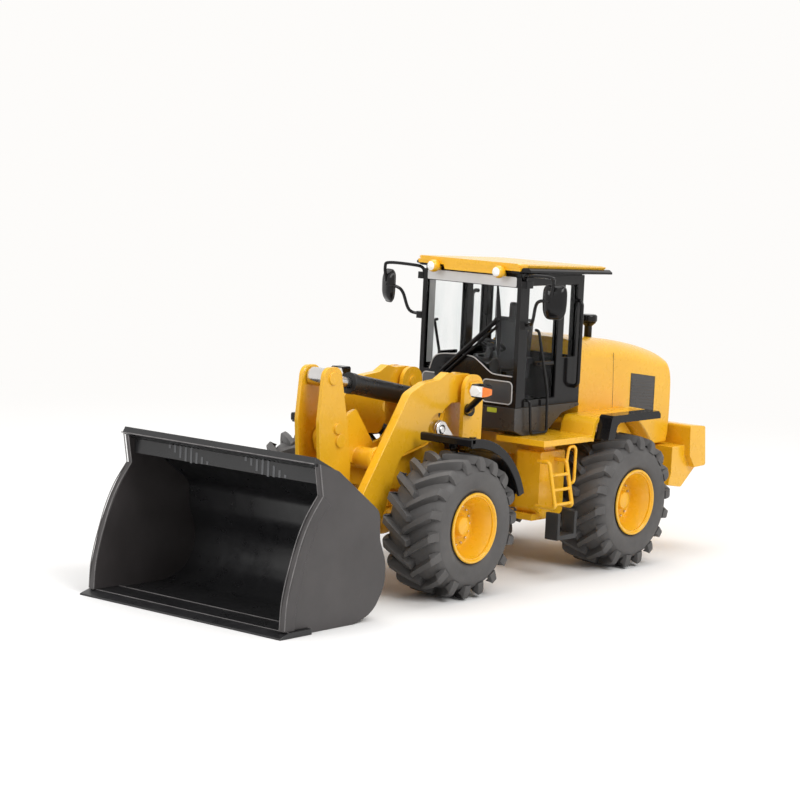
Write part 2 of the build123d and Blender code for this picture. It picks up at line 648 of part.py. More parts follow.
def lift_arms():
    """Two arm plates on the tower pin, joined by a tube that carries the lever bracket."""
    arm = plate(arm_outline(), ARM_INNER_Y, ARM_OUTER_Y)
    arm -= rod_y(ARM_PIVOT_X, ARM_PIVOT_Z, ARM_PIN_RADIUS + RUNNING_CLEARANCE, 0, ARM_OUTER_Y + 1)
    arm -= rod_y(BUCKET_PIVOT_X, BUCKET_PIVOT_Z, BUCKET_PIN_RADIUS + RUNNING_CLEARANCE, 0, ARM_OUTER_Y + 1)
    arm -= rod_y(LIFT_EYE_X, LIFT_EYE_Z, LIFT_EYE_RADIUS + LIFT_EYE_TRAVEL, ARM_POCKET_Y, ARM_OUTER_Y + 1)
    for name, side in SIDES.items():
        save(f"lift_arm_{name}", mirrored(arm, side))
    tube = rod_y(CROSS_TUBE_X, CROSS_TUBE_Z, CROSS_TUBE_RADIUS, -ARM_INNER_Y, ARM_INNER_Y)
    outline = around(CROSS_TUBE_X, CROSS_TUBE_Z, [(-5.2, 1.4, 0.8), (-1.4, -2.2, 1)])
    outline += around(LEVER_PIVOT_X, LEVER_PIVOT_Z, [(1.2, -3.0, 2.2), (2.6, 1.2, 2)])
    outline += around(CROSS_TUBE_X, CROSS_TUBE_Z, [(3.4, 9.6, 0.8), (1.6, 10.2, 0.6)])
    collar_radius = CROSS_TUBE_RADIUS + 0.4
    pieces = []
    for side in (1, -1):
        cheek = plate(outline, BRACKET_INNER_Y, BRACKET_INNER_Y + BRACKET_THICKNESS)
        collar = rod_y(CROSS_TUBE_X, CROSS_TUBE_Z, collar_radius, ARM_INNER_Y - 0.9, ARM_INNER_Y)
        pieces += [mirrored(cheek, side), mirrored(collar, side)]
    tube = tube.fuse(*pieces)
    tube -= rod_y(LEVER_PIVOT_X, LEVER_PIVOT_Z, LEVER_PIN_RADIUS + RUNNING_CLEARANCE, -ARM_INNER_Y, ARM_INNER_Y)
    save("cross_tube", tube)


def tilt_linkage():
    """Two-plate lever, short link to the bucket and the tilt cylinder above."""
    outline = around(LEVER_TOP_X, LEVER_TOP_Z, [(-2.4, 2.3, 2.2), (2.6, 2.3, 2.2)])
    outline += around(LEVER_PIVOT_X, LEVER_PIVOT_Z, [(6.5, 4.2, 4), (5.8, -3.8, 4)])
    outline += around(LEVER_FOOT_X, LEVER_FOOT_Z, [(2.6, -2.6, 2.3), (-2.5, -2.4, 2.3)])
    outline += around(LEVER_PIVOT_X, LEVER_PIVOT_Z, [(-3.8, -5.6, 2), (-2.0, 4.7, 4)])
    face = LEVER_OUTER_Y + LEVER_BOSS_HEIGHT
    keeper_radius = LEVER_PIN_RADIUS + 0.4
    pieces = []
    for side in (1, -1):
        cheek = plate(outline, LEVER_INNER_Y, LEVER_OUTER_Y)
        keeper = rod_y(LEVER_PIVOT_X, LEVER_PIVOT_Z, keeper_radius, LEVER_INNER_Y, face + 0.15)
        ear = rod_y(LEVER_PIVOT_X + 0.9, LEVER_PIVOT_Z + 2.5, keeper_radius - 0.3, LEVER_INNER_Y, face + 0.15)
        top = rod_y(LEVER_TOP_X, LEVER_TOP_Z, LEVER_PIN_RADIUS + 0.3, LEVER_INNER_Y, face)
        foot = rod_y(LEVER_FOOT_X, LEVER_FOOT_Z, LEVER_PIN_RADIUS + 0.3, LEVER_INNER_Y, face)
        pieces += [mirrored(piece, side) for piece in (cheek, keeper, ear, top, foot)]
    pivot = rod_y(LEVER_PIVOT_X, LEVER_PIVOT_Z, LEVER_PIN_RADIUS, -LEVER_OUTER_Y, LEVER_OUTER_Y)
    save("tilt_lever", pivot.fuse(*pieces))

    half = LINK_HALF_WIDTH
    bar = LINK_HALF_HEIGHT
    ends = around(LEVER_FOOT_X, LEVER_FOOT_Z, [(0.5, bar), (0.5, -bar)])
    ends += around(LINK_PIN_X, LINK_PIN_Z, [(0, -bar), (0, bar)])
    link = plate(ends, -half * 0.7, half * 0.7).fuse(
        rod_y(LEVER_FOOT_X, LEVER_FOOT_Z, LINK_EYE_RADIUS - 0.1, -half, half),
        rod_y(LINK_PIN_X, LINK_PIN_Z, LINK_EYE_RADIUS, -LINK_EYE_Y, LINK_EYE_Y))
    bore = LINK_PIN_RADIUS + RUNNING_CLEARANCE
    link -= rod_y(LINK_PIN_X, LINK_PIN_Z, bore, -LINK_EYE_Y - 1, LINK_EYE_Y + 1)
    save("tilt_link", link)

    dx = LEVER_TOP_X - TILT_BASE_X
    dz = LEVER_TOP_Z - TILT_BASE_Z
    length = hypot(dx, dz)
    place = Pos(TILT_BASE_X, 0, TILT_BASE_Z) * Rot(0, -degrees(atan2(dz, dx)), 0)
    eye_y = FRAME_INNER_Y - SIDE_CLEARANCE
    barrel_end = (TILT_BARREL_LENGTH, 0, 0)
    barrel = rod((TILT_EYE_RADIUS - 0.5, 0, 0), barrel_end, TILT_BARREL_RADIUS)
    barrel = barrel.fuse(
        rod((TILT_BARREL_LENGTH - 1.6, 0, 0), barrel_end, TILT_BARREL_RADIUS + TILT_COLLAR),
        rod_y(0, 0, TILT_EYE_RADIUS, -eye_y, eye_y))
    barrel -= rod((8.0, 0, 0), (TILT_BARREL_LENGTH + 1, 0, 0), TILT_ROD_RADIUS + RUNNING_CLEARANCE)
    save("tilt_cylinder_barrel", place * barrel)
    shaft = rod((TILT_BARREL_LENGTH - 13.0, 0, 0), (length - TILT_EYE_RADIUS + 0.4, 0, 0), TILT_ROD_RADIUS)
    eye = rod_y(length, 0, TILT_EYE_RADIUS, -half, half)
    save("tilt_cylinder_rod", place * (shaft + eye))


def lift_cylinders():
    """Barrel on the tower floor and rod to the pocket in each arm."""
    dx = LIFT_EYE_X - LIFT_BASE_X
    dz = LIFT_EYE_Z - LIFT_BASE_Z
    length = hypot(dx, dz)
    centre_y = ARM_POCKET_Y + LIFT_ROD_RADIUS + 2 * RUNNING_CLEARANCE
    place = Pos(LIFT_BASE_X, centre_y, LIFT_BASE_Z) * Rot(0, -degrees(atan2(dz, dx)), 0)
    eye_y = LIFT_BARREL_RADIUS - 0.15
    barrel = rod((LIFT_PIN_RADIUS, 0, 0), (LIFT_BARREL_LENGTH, 0, 0), LIFT_BARREL_RADIUS)
    barrel += rod_y(0, 0, LIFT_BASE_EYE_RADIUS, -eye_y, eye_y)
    barrel -= rod_y(0, 0, LIFT_PIN_RADIUS + RUNNING_CLEARANCE, -2 * eye_y, 2 * eye_y)
    bore = LIFT_ROD_RADIUS + RUNNING_CLEARANCE
    barrel -= rod((3 * LIFT_PIN_RADIUS, 0, 0), (LIFT_BARREL_LENGTH + 1, 0, 0), bore)
    shaft = rod((3.5 * LIFT_PIN_RADIUS, 0, 0), (length - 1.0, 0, 0), LIFT_ROD_RADIUS)
    eye = rod_y(length, 0, LIFT_EYE_RADIUS, -LIFT_ROD_RADIUS, LIFT_ROD_RADIUS)
    boss = rod_y(length, 0, LIFT_PIN_RADIUS, -LIFT_ROD_RADIUS, LIFT_ROD_RADIUS + 0.5)
    for name, side in SIDES.items():
        save(f"lift_cylinder_barrel_{name}", mirrored(place * barrel, side))
        save(f"lift_cylinder_rod_{name}", mirrored(place * shaft.fuse(eye, boss), side))


def steering_cylinders():
    """Barrel on the rear frame and rod to the front frame, one each side of the hitch."""
    dx = STEER_EYE_X - STEER_BASE_X
    dy = STEER_EYE_Y - STEER_BASE_Y
    length = hypot(dx, dy)
    place = Pos(STEER_BASE_X, STEER_BASE_Y, STEER_Z) * Rot(0, 0, degrees(atan2(dy, dx)))
    half = STEER_EYE_THICKNESS / 2
    bore_start = STEER_PIN_RADIUS + 1.8
    barrel = rod((STEER_PIN_RADIUS, 0, 0), (STEER_BARREL_LENGTH, 0, 0), STEER_BARREL_RADIUS)
    barrel += rod((0, 0, -half), (0, 0, half), STEER_EYE_RADIUS)
    barrel -= rod((0, 0, -2 * half), (0, 0, 2 * half), STEER_PIN_RADIUS + RUNNING_CLEARANCE)
    barrel -= rod((bore_start, 0, 0), (STEER_BARREL_LENGTH + 1, 0, 0), STEER_ROD_RADIUS + RUNNING_CLEARANCE)
    shaft = rod((STEER_BARREL_LENGTH - 4.6, 0, 0), (length - 1.0, 0, 0), STEER_ROD_RADIUS)
    eye = rod((length, 0, -half), (length, 0, half), STEER_EYE_RADIUS)
    for name, side in SIDES.items():
        save(f"steering_barrel_{name}", mirrored(place * barrel, side))
        save(f"steering_rod_{name}", mirrored(place * (shaft + eye), side))


# ---------------------------------------------------------------- bucket
def bucket_profile(points):
    """Bucket outline points, with X measured from the back of the shell."""
    return [(BUCKET_BACK_X + dx, z, *bend) for dx, z, *bend in points]


def bucket():
    """Bent shell with hinge ears, two side plates, a cutting edge and a spill guard."""
    wall = BUCKET_WALL / 2
    inner_y = BUCKET_INNER_Y
    edge = EDGE_THICKNESS
    line = [(EDGE_BACK_X, wall)] + bucket_profile(
        [(8.5, wall), (3.1, 2.4), (0, 7.0), (0.1, 11.4), (2.1, 15.8), (2.4, 21.3), (15.1, 30.1)])
    bends = [7.0, 7.0, 7.0, 7.0, 5.0, 3.0]
    shell = strip(line, bends, BUCKET_WALL, -inner_y, inner_y)
    centre_line = [(x, z, bend) for (x, z), bend in zip(line, [0, *bends, 0])]
    hollow = plate(centre_line + bucket_profile([(25.9, 20.0)]), -inner_y, inner_y)
    hinge = around(BUCKET_PIVOT_X, BUCKET_PIVOT_Z, [(-2.3, 2.6, 2.2)])
    hinge += bucket_profile([(2.1, 17.5), (2.1, 2.6)])
    hinge += around(BUCKET_PIVOT_X, BUCKET_PIVOT_Z, [(-2.3, -2.6, 2.2)])
    crest = around(LINK_PIN_X, LINK_PIN_Z, [(-2.4, 2.4, 2.2)])
    crest += bucket_profile([(5.5, 24.2), (2.5, 13.5), (0.7, 13.0)])
    crest += around(LINK_PIN_X, LINK_PIN_Z, [(-2.4, -2.2, 2.0)])
    inside_y = ARM_INNER_Y - SIDE_CLEARANCE
    outside_y = ARM_OUTER_Y + SIDE_CLEARANCE
    crest_y = LINK_EYE_Y + SIDE_CLEARANCE
    pin_reach = outside_y + BUCKET_EAR_THICKNESS
    ears = []
    for side in (1, -1):
        inside = plate(hinge, inside_y - BUCKET_EAR_THICKNESS, inside_y)
        outside = plate(hinge, outside_y, pin_reach)
        upper = plate(crest, crest_y, crest_y + LINK_EAR_THICKNESS)
        ears += [mirrored(piece - hollow, side) for piece in (inside, outside, upper)]
    shell = shell.fuse(*ears)
    shell -= rod_y(BUCKET_PIVOT_X, BUCKET_PIVOT_Z, BUCKET_PIN_RADIUS, -pin_reach - 1, pin_reach + 1)
    shell -= rod_y(LINK_PIN_X, LINK_PIN_Z, LINK_PIN_RADIUS, -crest_y - 2, crest_y + 2)
    save("bucket_shell", shell)

    pin = rod_y(BUCKET_PIVOT_X, BUCKET_PIVOT_Z, BUCKET_PIN_RADIUS,
                inside_y - BUCKET_EAR_THICKNESS - 0.3, pin_reach + 0.3)
    cross_y = crest_y + LINK_EAR_THICKNESS + 0.3
    cross = rod_y(LINK_PIN_X, LINK_PIN_Z, LINK_PIN_RADIUS, -cross_y, cross_y)
    save("bucket_pins", both(pin) + [cross])

    outline = bucket_profile([
        (8.5, 0, 7), (2.8, 2.1 - wall, 7), (-wall, 6.9, 7), (0.1 - wall, 11.5, 7), (2.1 - wall, 15.9, 5),
        (2.4 - wall, 21.5, 3), (15.1 - wall, 30.1 + wall), (20.7, 32.4)])
    front = bucket_profile([(19.5, 26.2), (23.2, 21.6, 30), (26.6, 13.9, 30), (28.7, 5.9, 20), (28.9, edge)])
    closing = [(EDGE_BACK_X, edge), (EDGE_BACK_X, 0)]
    side_plate = plate(outline + front + closing, inner_y, BUCKET_HALF_WIDTH)
    band = [(x - BUCKET_RIM_WIDTH, z) for x, z, *bend in reversed(front[1:])] + bucket_profile([(17.1, 24.2)])
    rim = plate(front + band, BUCKET_HALF_WIDTH, BUCKET_HALF_WIDTH + BUCKET_RIM_THICKNESS)
    save("bucket_sides", both(side_plate + rim))

    reach = BUCKET_HALF_WIDTH + EDGE_OVERHANG
    blade = [(EDGE_BACK_X, 0), (EDGE_TIP_X, 0), (EDGE_TIP_X, 0.35), (EDGE_TIP_X - 2.6, edge),
             (EDGE_BACK_X, edge)]
    save("cutting_edge", plate(blade, -reach, reach))

    guard = plate(bucket_profile([(14.9, 30.6), (15.7, 29.5), (21.9, 32.4), (21.1, 33.6)]),
                  -inner_y - 0.6, inner_y + 0.6)
    guard -= plate(outline, inner_y, BUCKET_HALF_WIDTH + 2)
    guard -= plate(outline, -BUCKET_HALF_WIDTH - 2, -inner_y)
    slots = []
    for side in (1, -1):
        for i in range(SLOTS_PER_GROUP):
            y = side * (5.6 + SLOT_PITCH * i)
            length = SLOT_LENGTH - 0.2 * abs(i - (SLOTS_PER_GROUP - 1) / 2)
            slots.append(Pos(BUCKET_BACK_X + 18.5, y, 31.5) * Rot(0, -25, 0) * Box(length, SLOT_WIDTH, 4))
    save("spill_guard", guard - slots)


# ---------------------------------------------------------------- rear frame
def tank():
    """Left-hand tank below the ladder, with its carrier, foot plate and platform post."""
    front = TANK_FRONT_X
    back = TANK_BACK_X
    low = TANK_BOTTOM_Z
    shell = plate([(front, low + 2.0, 1), (front, TANK_TOP_Z, 0.6), (back, TANK_TOP_Z, 0.6), (back, low + 1, 1),
                   (back + 2, low, 1), (front - 2, low, 1)], TANK_INNER_Y, TANK_OUTER_Y)
    root_y = REAR_FRAME_HALF_WIDTH
    carrier = box(back - 1, back + 1, root_y - 1, TANK_INNER_Y + 1, low + 5.5, TANK_TOP_Z - 1.2)
    gusset = box(back - 3, back, root_y - 1, root_y + 1.2, low + 5.5, TANK_TOP_Z - 1.2)
    foot = box(front - 6, front + 0.8, TANK_INNER_Y, TANK_OUTER_Y - 1, low - 0.4, low + 1.0)
    post = box(back + 2.5, front - 2.5, TANK_INNER_Y + 1, TANK_OUTER_Y - 1, TANK_TOP_Z - 0.2, PLATFORM_BOTTOM_Z)
    return [shell, carrier, gusset, foot, post]


def steering_base():
    """Left-hand ears and pin that hold a steering cylinder's base."""
    near = STEER_BARREL_RADIUS + 2 * RUNNING_CLEARANCE
    reach = near + STEER_LUG_THICKNESS
    ears = []
    for low, high in ((-reach, -near), (near, reach)):
        ears.append(box(REAR_FRAME_FRONT_X - 0.5, STEER_BASE_X + 1.6, STEER_BASE_Y - 1.8, STEER_BASE_Y + 1.8,
                        STEER_Z + low, STEER_Z + high))
    pin = disc_z(STEER_BASE_X, STEER_BASE_Y, STEER_Z - reach - 0.35, STEER_PIN_RADIUS, 2 * reach + 0.7)
    return [*ears, pin]


def rear_frame():
    """Main box with hitch lugs, tanks beside the hitch and trunnion lugs for the axle."""
    half = REAR_FRAME_HALF_WIDTH
    front = REAR_FRAME_FRONT_X
    low = REAR_FRAME_BOTTOM_Z
    top = REAR_FRAME_TOP_Z
    tail = REAR_FRAME_BACK_X
    arch_front = REAR_AXLE_X + TRUNNION_REACH
    arch_back = REAR_AXLE_X - TRUNNION_REACH
    solid = plate([
        (front, low), (front, top), (HOOD_FRONT_X, top), (HOOD_FRONT_X, SHOULDER_BOTTOM_Z),
        (tail + 14.4, SHOULDER_BOTTOM_Z), (tail + 8.4, 28.6), (tail + 4.2, COUNTERWEIGHT_TOP_Z),
        (tail, COUNTERWEIGHT_TOP_Z), (tail, 20.0), (tail + 8.0, low + 3.0), (arch_back - 3, low + 1),
        (arch_back, low + 1), (arch_back, ARCH_TOP_Z), (arch_front, ARCH_TOP_Z), (arch_front, low)], -half, half)
    lug = HITCH_LUG_RADIUS
    height = HITCH_LUG_THICKNESS
    pieces = [box(front - 1, -lug - 1.2, -lug + 0.8, lug - 0.8, HITCH_LOWER_Z, HITCH_UPPER_Z + height)]
    for z in (HITCH_UPPER_Z, HITCH_LOWER_Z):
        pieces.append(disc_z(0, 0, z, lug, height))
        pieces.append(box(front - 1, 0, -lug, lug, z, z + height))
    for x in (arch_front - TRUNNION_LUG_THICKNESS, arch_back):
        pieces.append(box(x, x + TRUNNION_LUG_THICKNESS, -TRUNNION_RADIUS - 2.1, TRUNNION_RADIUS + 2.1,
                          AXLE_Z - TRUNNION_RADIUS - 1.7, ARCH_TOP_Z + 0.7))
    for side in (1, -1):
        pieces += [mirrored(piece, side) for piece in tank() + steering_base()]
    solid = solid.fuse(*pieces)
    bore = TRUNNION_RADIUS + RUNNING_CLEARANCE
    solid -= rod((arch_back - 3, 0, AXLE_Z), (arch_front + 3, 0, AXLE_Z), bore)
    solid -= rod((0, 0, HITCH_LOWER_Z - 1), (0, 0, HITCH_UPPER_Z + 2 * height), HITCH_PIN_RADIUS)
    save("rear_frame", solid)
    pin_top = HITCH_UPPER_Z + 2 * height + HITCH_GAP + 0.5
    pin = rod((0, 0, HITCH_LOWER_Z - 0.4), (0, 0, pin_top), HITCH_PIN_RADIUS)
    head = disc_z(0, 0, pin_top - 0.2, HITCH_PIN_RADIUS + 0.8, 0.7)
    save("hitch_pin", pin + head)


def platforms():
    """Walkway plate beside the cab that steps up into the rear fender."""
    top = PLATFORM_TOP_Z
    low = PLATFORM_BOTTOM_Z
    shoulder_z = SHOULDER_BOTTOM_Z + SHOULDER_THICKNESS / 2
    inner_y = REAR_FRAME_HALF_WIDTH
    deck = box(SHOULDER_FRONT_X - 0.6, PLATFORM_FRONT_X, inner_y, PLATFORM_HALF_WIDTH, low, top)
    wall = strip([(SHOULDER_FRONT_X, low), (SHOULDER_FRONT_X - 1.2, shoulder_z), (SHOULDER_BACK_X, shoulder_z)],
                 1.6, SHOULDER_THICKNESS, HOOD_HALF_WIDTH, PLATFORM_HALF_WIDTH)
    hanger = box(SHOULDER_BACK_X + 1, SHOULDER_FRONT_X - 1.4, inner_y, HOOD_HALF_WIDTH + 0.8,
                 SHOULDER_BOTTOM_Z - SHOULDER_HANGER, SHOULDER_BOTTOM_Z)
    for name, side in SIDES.items():
        save(f"platform_{name}", mirrored(deck.fuse(wall, hanger), side))
    crown = shoulder_z + 1.0
    foot = low + 0.3
    edge = crown - TRIM_DEPTH
    trim = plate([(SHOULDER_FRONT_X - 0.9, foot, 0.4), (SHOULDER_FRONT_X - 2.0, crown, 0.6),
                  (SHOULDER_BACK_X + 1.0, crown, 0.4), (SHOULDER_BACK_X, edge, 0.3),
                  (SHOULDER_FRONT_X - 5.6, edge, 0.8), (SHOULDER_FRONT_X - 3.0, foot, 0.4)],
                 PLATFORM_HALF_WIDTH, PLATFORM_HALF_WIDTH + TRIM_WIDTH)
    save("fender_trims", both(trim))


# ---------------------------------------------------------------- hood and tail
def hood():
    """Engine hood with rounded shoulders, grille inserts and the air pre-cleaner."""
    half = HOOD_HALF_WIDTH
    back = HOOD_BACK_X
    top = HOOD_FRONT_TOP_Z
    low_top = HOOD_BACK_TOP_Z
    side = plate([
        (HOOD_FRONT_X, SHOULDER_BOTTOM_Z), (HOOD_FRONT_X, top, 0.5), (back + 21.0, top - 0.8, 30),
        (back + 5.5, low_top + 0.9, 8), (back + 0.8, low_top - 1.0, 2.5), (back, 36.0, 10),
        (back + 0.6, 26.0, 1), (back + 6.5, 24.6, 1), (back + 11.0, REAR_FRAME_TOP_Z, 2),
        (back + 17.0, SHOULDER_BOTTOM_Z, 1)], -half, half)
    section = [(half, 20), (half, top - 5.9), (half - 2.4, top - 2.0), (4, top + 0.2)]
    ring = [(back - 1, -y, z) for y, z in section] + [(back - 1, y, z) for y, z in reversed(section)]
    envelope = extrude(make_face(Polyline(*ring, close=True)), amount=HOOD_FRONT_X - back + 2, dir=(1, 0, 0))
    body = side & envelope
    low = GRILLE_BOTTOM_Z
    high = GRILLE_BOTTOM_Z + GRILLE_HEIGHT
    slope = 0.8
    corners = [(GRILLE_FRONT_X, low + slope, 0.4), (GRILLE_BACK_X, low - slope, 0.4),
               (GRILLE_BACK_X, high - slope, 0.4), (GRILLE_FRONT_X, high + slope, 0.4)]
    pocket = plate(corners, half - GRILLE_DEPTH, half + 1)
    insert = plate(corners, half - GRILLE_DEPTH, half - GRILLE_DEPTH + GRILLE_THICKNESS)
    wide = REAR_GRILLE_HALF_WIDTH
    inner_x = back + REAR_GRILLE_DEPTH
    back_cut = box(back - 1, inner_x, -wide, wide, REAR_GRILLE_BOTTOM_Z, REAR_GRILLE_TOP_Z)
    back_insert = box(inner_x - 0.7, inner_x, -wide, wide, REAR_GRILLE_BOTTOM_Z, REAR_GRILLE_TOP_Z)
    body = body - pocket - mirror(pocket, about=Plane.XZ) - back_cut
    save("hood", body)
    save("hood_grilles", both(insert) + [back_insert])
    bowl_z = PRECLEANER_TOP_Z - PRECLEANER_HEIGHT
    stem = rod((PRECLEANER_X, PRECLEANER_Y, top - 0.9), (PRECLEANER_X, PRECLEANER_Y, bowl_z - 0.8),
               PRECLEANER_STEM_RADIUS)
    cone = Pos(PRECLEANER_X, PRECLEANER_Y, bowl_z - 0.8) * Cone(
        PRECLEANER_STEM_RADIUS, PRECLEANER_RADIUS - 0.2, 0.8, align=(Align.CENTER, Align.CENTER, Align.MIN))
    bowl = disc_z(PRECLEANER_X, PRECLEANER_Y, bowl_z, PRECLEANER_RADIUS, PRECLEANER_HEIGHT)
    bowl = fillet(bowl.edges().filter_by(GeomType.CIRCLE), 0.6)
    save("precleaner", stem.fuse(cone, bowl) - body)


def counterweight():
    """Stepped block across the tail with upright corner lobes and a tow pin slot."""
    half = COUNTERWEIGHT_HALF_WIDTH
    top = COUNTERWEIGHT_TOP_Z
    back = COUNTERWEIGHT_BACK_X
    frame_y = REAR_FRAME_HALF_WIDTH
    block = plate([(back + 13.0, top - 6.3, 0.5), (back + 13.0, top, 0.3), (back + 3.4, top, 0.5),
                   (back + 2.6, top - 5.3, 1), (back + 8.5, top - 9.9, 1), (back + 14.0, top - 9.1, 0.5)],
                  -half + 1.6, half - 1.6)
    block -= box(back + 10.0, back + 20.0, -frame_y, frame_y, top - 14.3, top + 5.7)
    block += box(back + 6.0, REAR_FRAME_BACK_X, -frame_y - 1, frame_y + 1, top - 6.3, top)
    lobes = plate([(back + 7.8, top - 2.3), (back + 8.2, top + 4.9, 0.6), (back + 1.8, top + 4.3, 0.6),
                   (back + 0.8, top - 5.1, 0.6), (back + 5.5, top - 5.3)], -half, half)
    slot = box(back - 5, back + 3.8, -TOW_SLOT_HALF_WIDTH, TOW_SLOT_HALF_WIDTH, top - 6.3, top + 1.7)
    save("counterweight", block.fuse(lobes) - slot)


# ---------------------------------------------------------------- cab
def cab():
    """Cab base, pillar frame with door handles, and glass."""
    front = CAB_FRONT_X
    back = CAB_BACK_X
    half = CAB_HALF_WIDTH
    floor = CAB_FLOOR_Z
    deck = PLATFORM_TOP_Z
    base = plate([(front, deck + 1.2, 0.6), (front, floor), (back, floor), (back - 0.8, floor - 0.6, 0.3),
                  (back + 6.0, floor - 2.0, 2), (back + 12.0, deck, 2), (front - 3.2, deck, 1)], -half, half)
    save("cab_base", base)

    header_z = CAB_TOP_Z - HEADER
    rail_z = header_z + 0.4
    sill = SILL_TOP_Z
    front_sill = floor + FRONT_SILL_HEIGHT
    door_sill = floor + DOOR_SILL_HEIGHT
    b_front = PILLAR_B_X + PILLAR / 2
    b_back = PILLAR_B_X - PILLAR / 2
    glass_y = half - GLASS_INSET - GLASS
    handle_x = b_front + 1.3
    solid = box(back, back + PILLAR, -half, half, header_z, CAB_TOP_Z)
    pieces = [box(front - PILLAR, front, -half, half, header_z, CAB_TOP_Z),
              box(front - 1.2, front, -half, half, floor, front_sill),
              box(back, back + 1.2, -half, half, floor, sill)]
    left = [box(front - A_PILLAR_DEPTH, front, half - A_PILLAR_WIDTH, half, floor, CAB_TOP_Z),
            box(b_back, b_front, half - PILLAR + 0.6, half, floor, CAB_TOP_Z),
            box(back, back + PILLAR, half - PILLAR, half, floor, CAB_TOP_Z),
            box(back, front, half - PILLAR + 0.4, half, rail_z, CAB_TOP_Z),
            box(back, PILLAR_B_X, half - PILLAR + 1.0, half, floor, sill),
            box(PILLAR_B_X, front, half - PILLAR + 0.6, half, floor, door_sill),
            box(handle_x, handle_x + HANDLE_LENGTH, glass_y + GLASS, half + 0.35, sill - 1.4,
                sill - 1.4 + HANDLE_HEIGHT)]
    for side in (1, -1):
        pieces += [mirrored(piece, side) for piece in left]
    save("cab_frame", solid.fuse(*pieces))

    screen_y = half - A_PILLAR_WIDTH
    pane_y = half - PILLAR
    screen_x = front - 2 * GLASS
    rear_x = back + GLASS
    glass = [box(screen_x, screen_x + GLASS, -screen_y, screen_y, front_sill, header_z),
             box(rear_x, rear_x + GLASS, -pane_y, pane_y, sill, header_z)]
    door = box(b_front, front - A_PILLAR_DEPTH, glass_y, glass_y + GLASS, door_sill, rail_z)
    quarter = box(back + PILLAR, b_back, glass_y, glass_y + GLASS, sill, rail_z)
    save("cab_glass", glass + both(door) + both(quarter))


def roof():
    """Flat roof with bevelled edges, a front brow and two work lights."""
    half = CAB_HALF_WIDTH + ROOF_SIDE_OVERHANG
    low = ROOF_BOTTOM_Z
    tail = CAB_BACK_X - ROOF_BACK_OVERHANG
    slab = box(tail, CAB_FRONT_X + ROOF_FRONT_OVERHANG, -half, half, low, ROOF_TOP_Z)
    slab = chamfer(slab.edges().filter_by(Axis.Z), 1.6)
    slab = chamfer(slab.faces().sort_by(Axis.Z)[-1].edges(), 1.2, 0.7)
    inset = CAB_HALF_WIDTH - 0.2
    skirt = box(CAB_BACK_X + 0.2, CAB_FRONT_X - 0.2, -inset, inset, CAB_TOP_Z, low)
    save("roof", slab + skirt)
    y = WORK_LIGHT_Y
    z = low - 0.3
    lamp = rod((CAB_FRONT_X + 0.6, y, z), (CAB_FRONT_X + 0.6 + WORK_LIGHT_LENGTH, y, z), WORK_LIGHT_RADIUS)
    arm = box(CAB_FRONT_X, CAB_FRONT_X + 1.4, y - 0.6, y + 0.6, low - 1.2, low)
    save("work_lights", both((lamp + arm) - slab))


def interior():
    """Seat on its pedestal, dash console and steering wheel on its column."""
    floor = CAB_FLOOR_Z
    back = CAB_BACK_X + SEAT_SETBACK
    half = SEAT_HALF_WIDTH
    seat_z = floor + SEAT_HEIGHT
    top = floor + SEAT_BACK_HEIGHT
    head_top = floor + HEADREST_HEIGHT
    pedestal = box(back + 4.0, back + 9.0, -half + 1.0, half - 1.0, floor, seat_z)
    cushion = box(back + 3.0, back + 9.6, -half, half, seat_z, seat_z + SEAT_CUSHION)
    root = seat_z + 2.0
    rest = plate([(back + 3.8, root), (back + 2.0, top, 1), (back + 0.2, top, 0.8), (back + 1.6, root)],
                 -half + 0.3, half - 0.3)
    head = plate([(back + 2.2, top - 1.1), (back + 2.0, head_top, 0.6), (back + 0.6, head_top, 0.6),
                  (back + 0.4, top - 1.1)], -HEADREST_HALF_WIDTH, HEADREST_HALF_WIDTH)
    arms = both(box(back + 2.2, back + 8.2, half, half + 1.4, seat_z + 4.2, seat_z + 5.6))
    posts = both(box(back + 2.6, back + 4.4, half - 0.8, half + 0.8, seat_z + 1.0, seat_z + 4.4))
    save("seat", pedestal.fuse(cushion, rest, head, *arms, *posts))

    dash_x = CAB_FRONT_X - 2.8
    dash = plate([(dash_x, floor), (dash_x, floor + 9.4, 1.5), (dash_x - 2.8, floor + 9.8, 1.0),
                  (dash_x - 4.8, floor + 5.8, 1), (dash_x - 2.8, floor)], -8.6, 4.0)
    hub_point = (dash_x - 5.1, 0, floor + 11.6)
    column = rod((dash_x - 2.4, 0, floor + 6.4), hub_point, COLUMN_RADIUS)
    save("dashboard", dash + column)
    wheel_plane = Plane(origin=hub_point, z_dir=Vector(-2.7, 0, 5.2).normalized())
    rim_z = 0.8
    rim = wheel_plane * Pos(0, 0, rim_z) * Torus(STEERING_WHEEL_RADIUS, STEERING_RIM_RADIUS)
    hub = wheel_plane * Cylinder(COLUMN_RADIUS + 0.2, 1.0, align=(Align.CENTER, Align.CENTER, Align.MIN))
    spoke = Pos(STEERING_WHEEL_RADIUS / 2, 0, rim_z) * Box(STEERING_WHEEL_RADIUS, 0.5, 0.35)
    spokes = [wheel_plane * Rot(0, 0, angle) * spoke for angle in (90, 210, 330)]
    save("steering_wheel", rim.fuse(hub, *spokes))


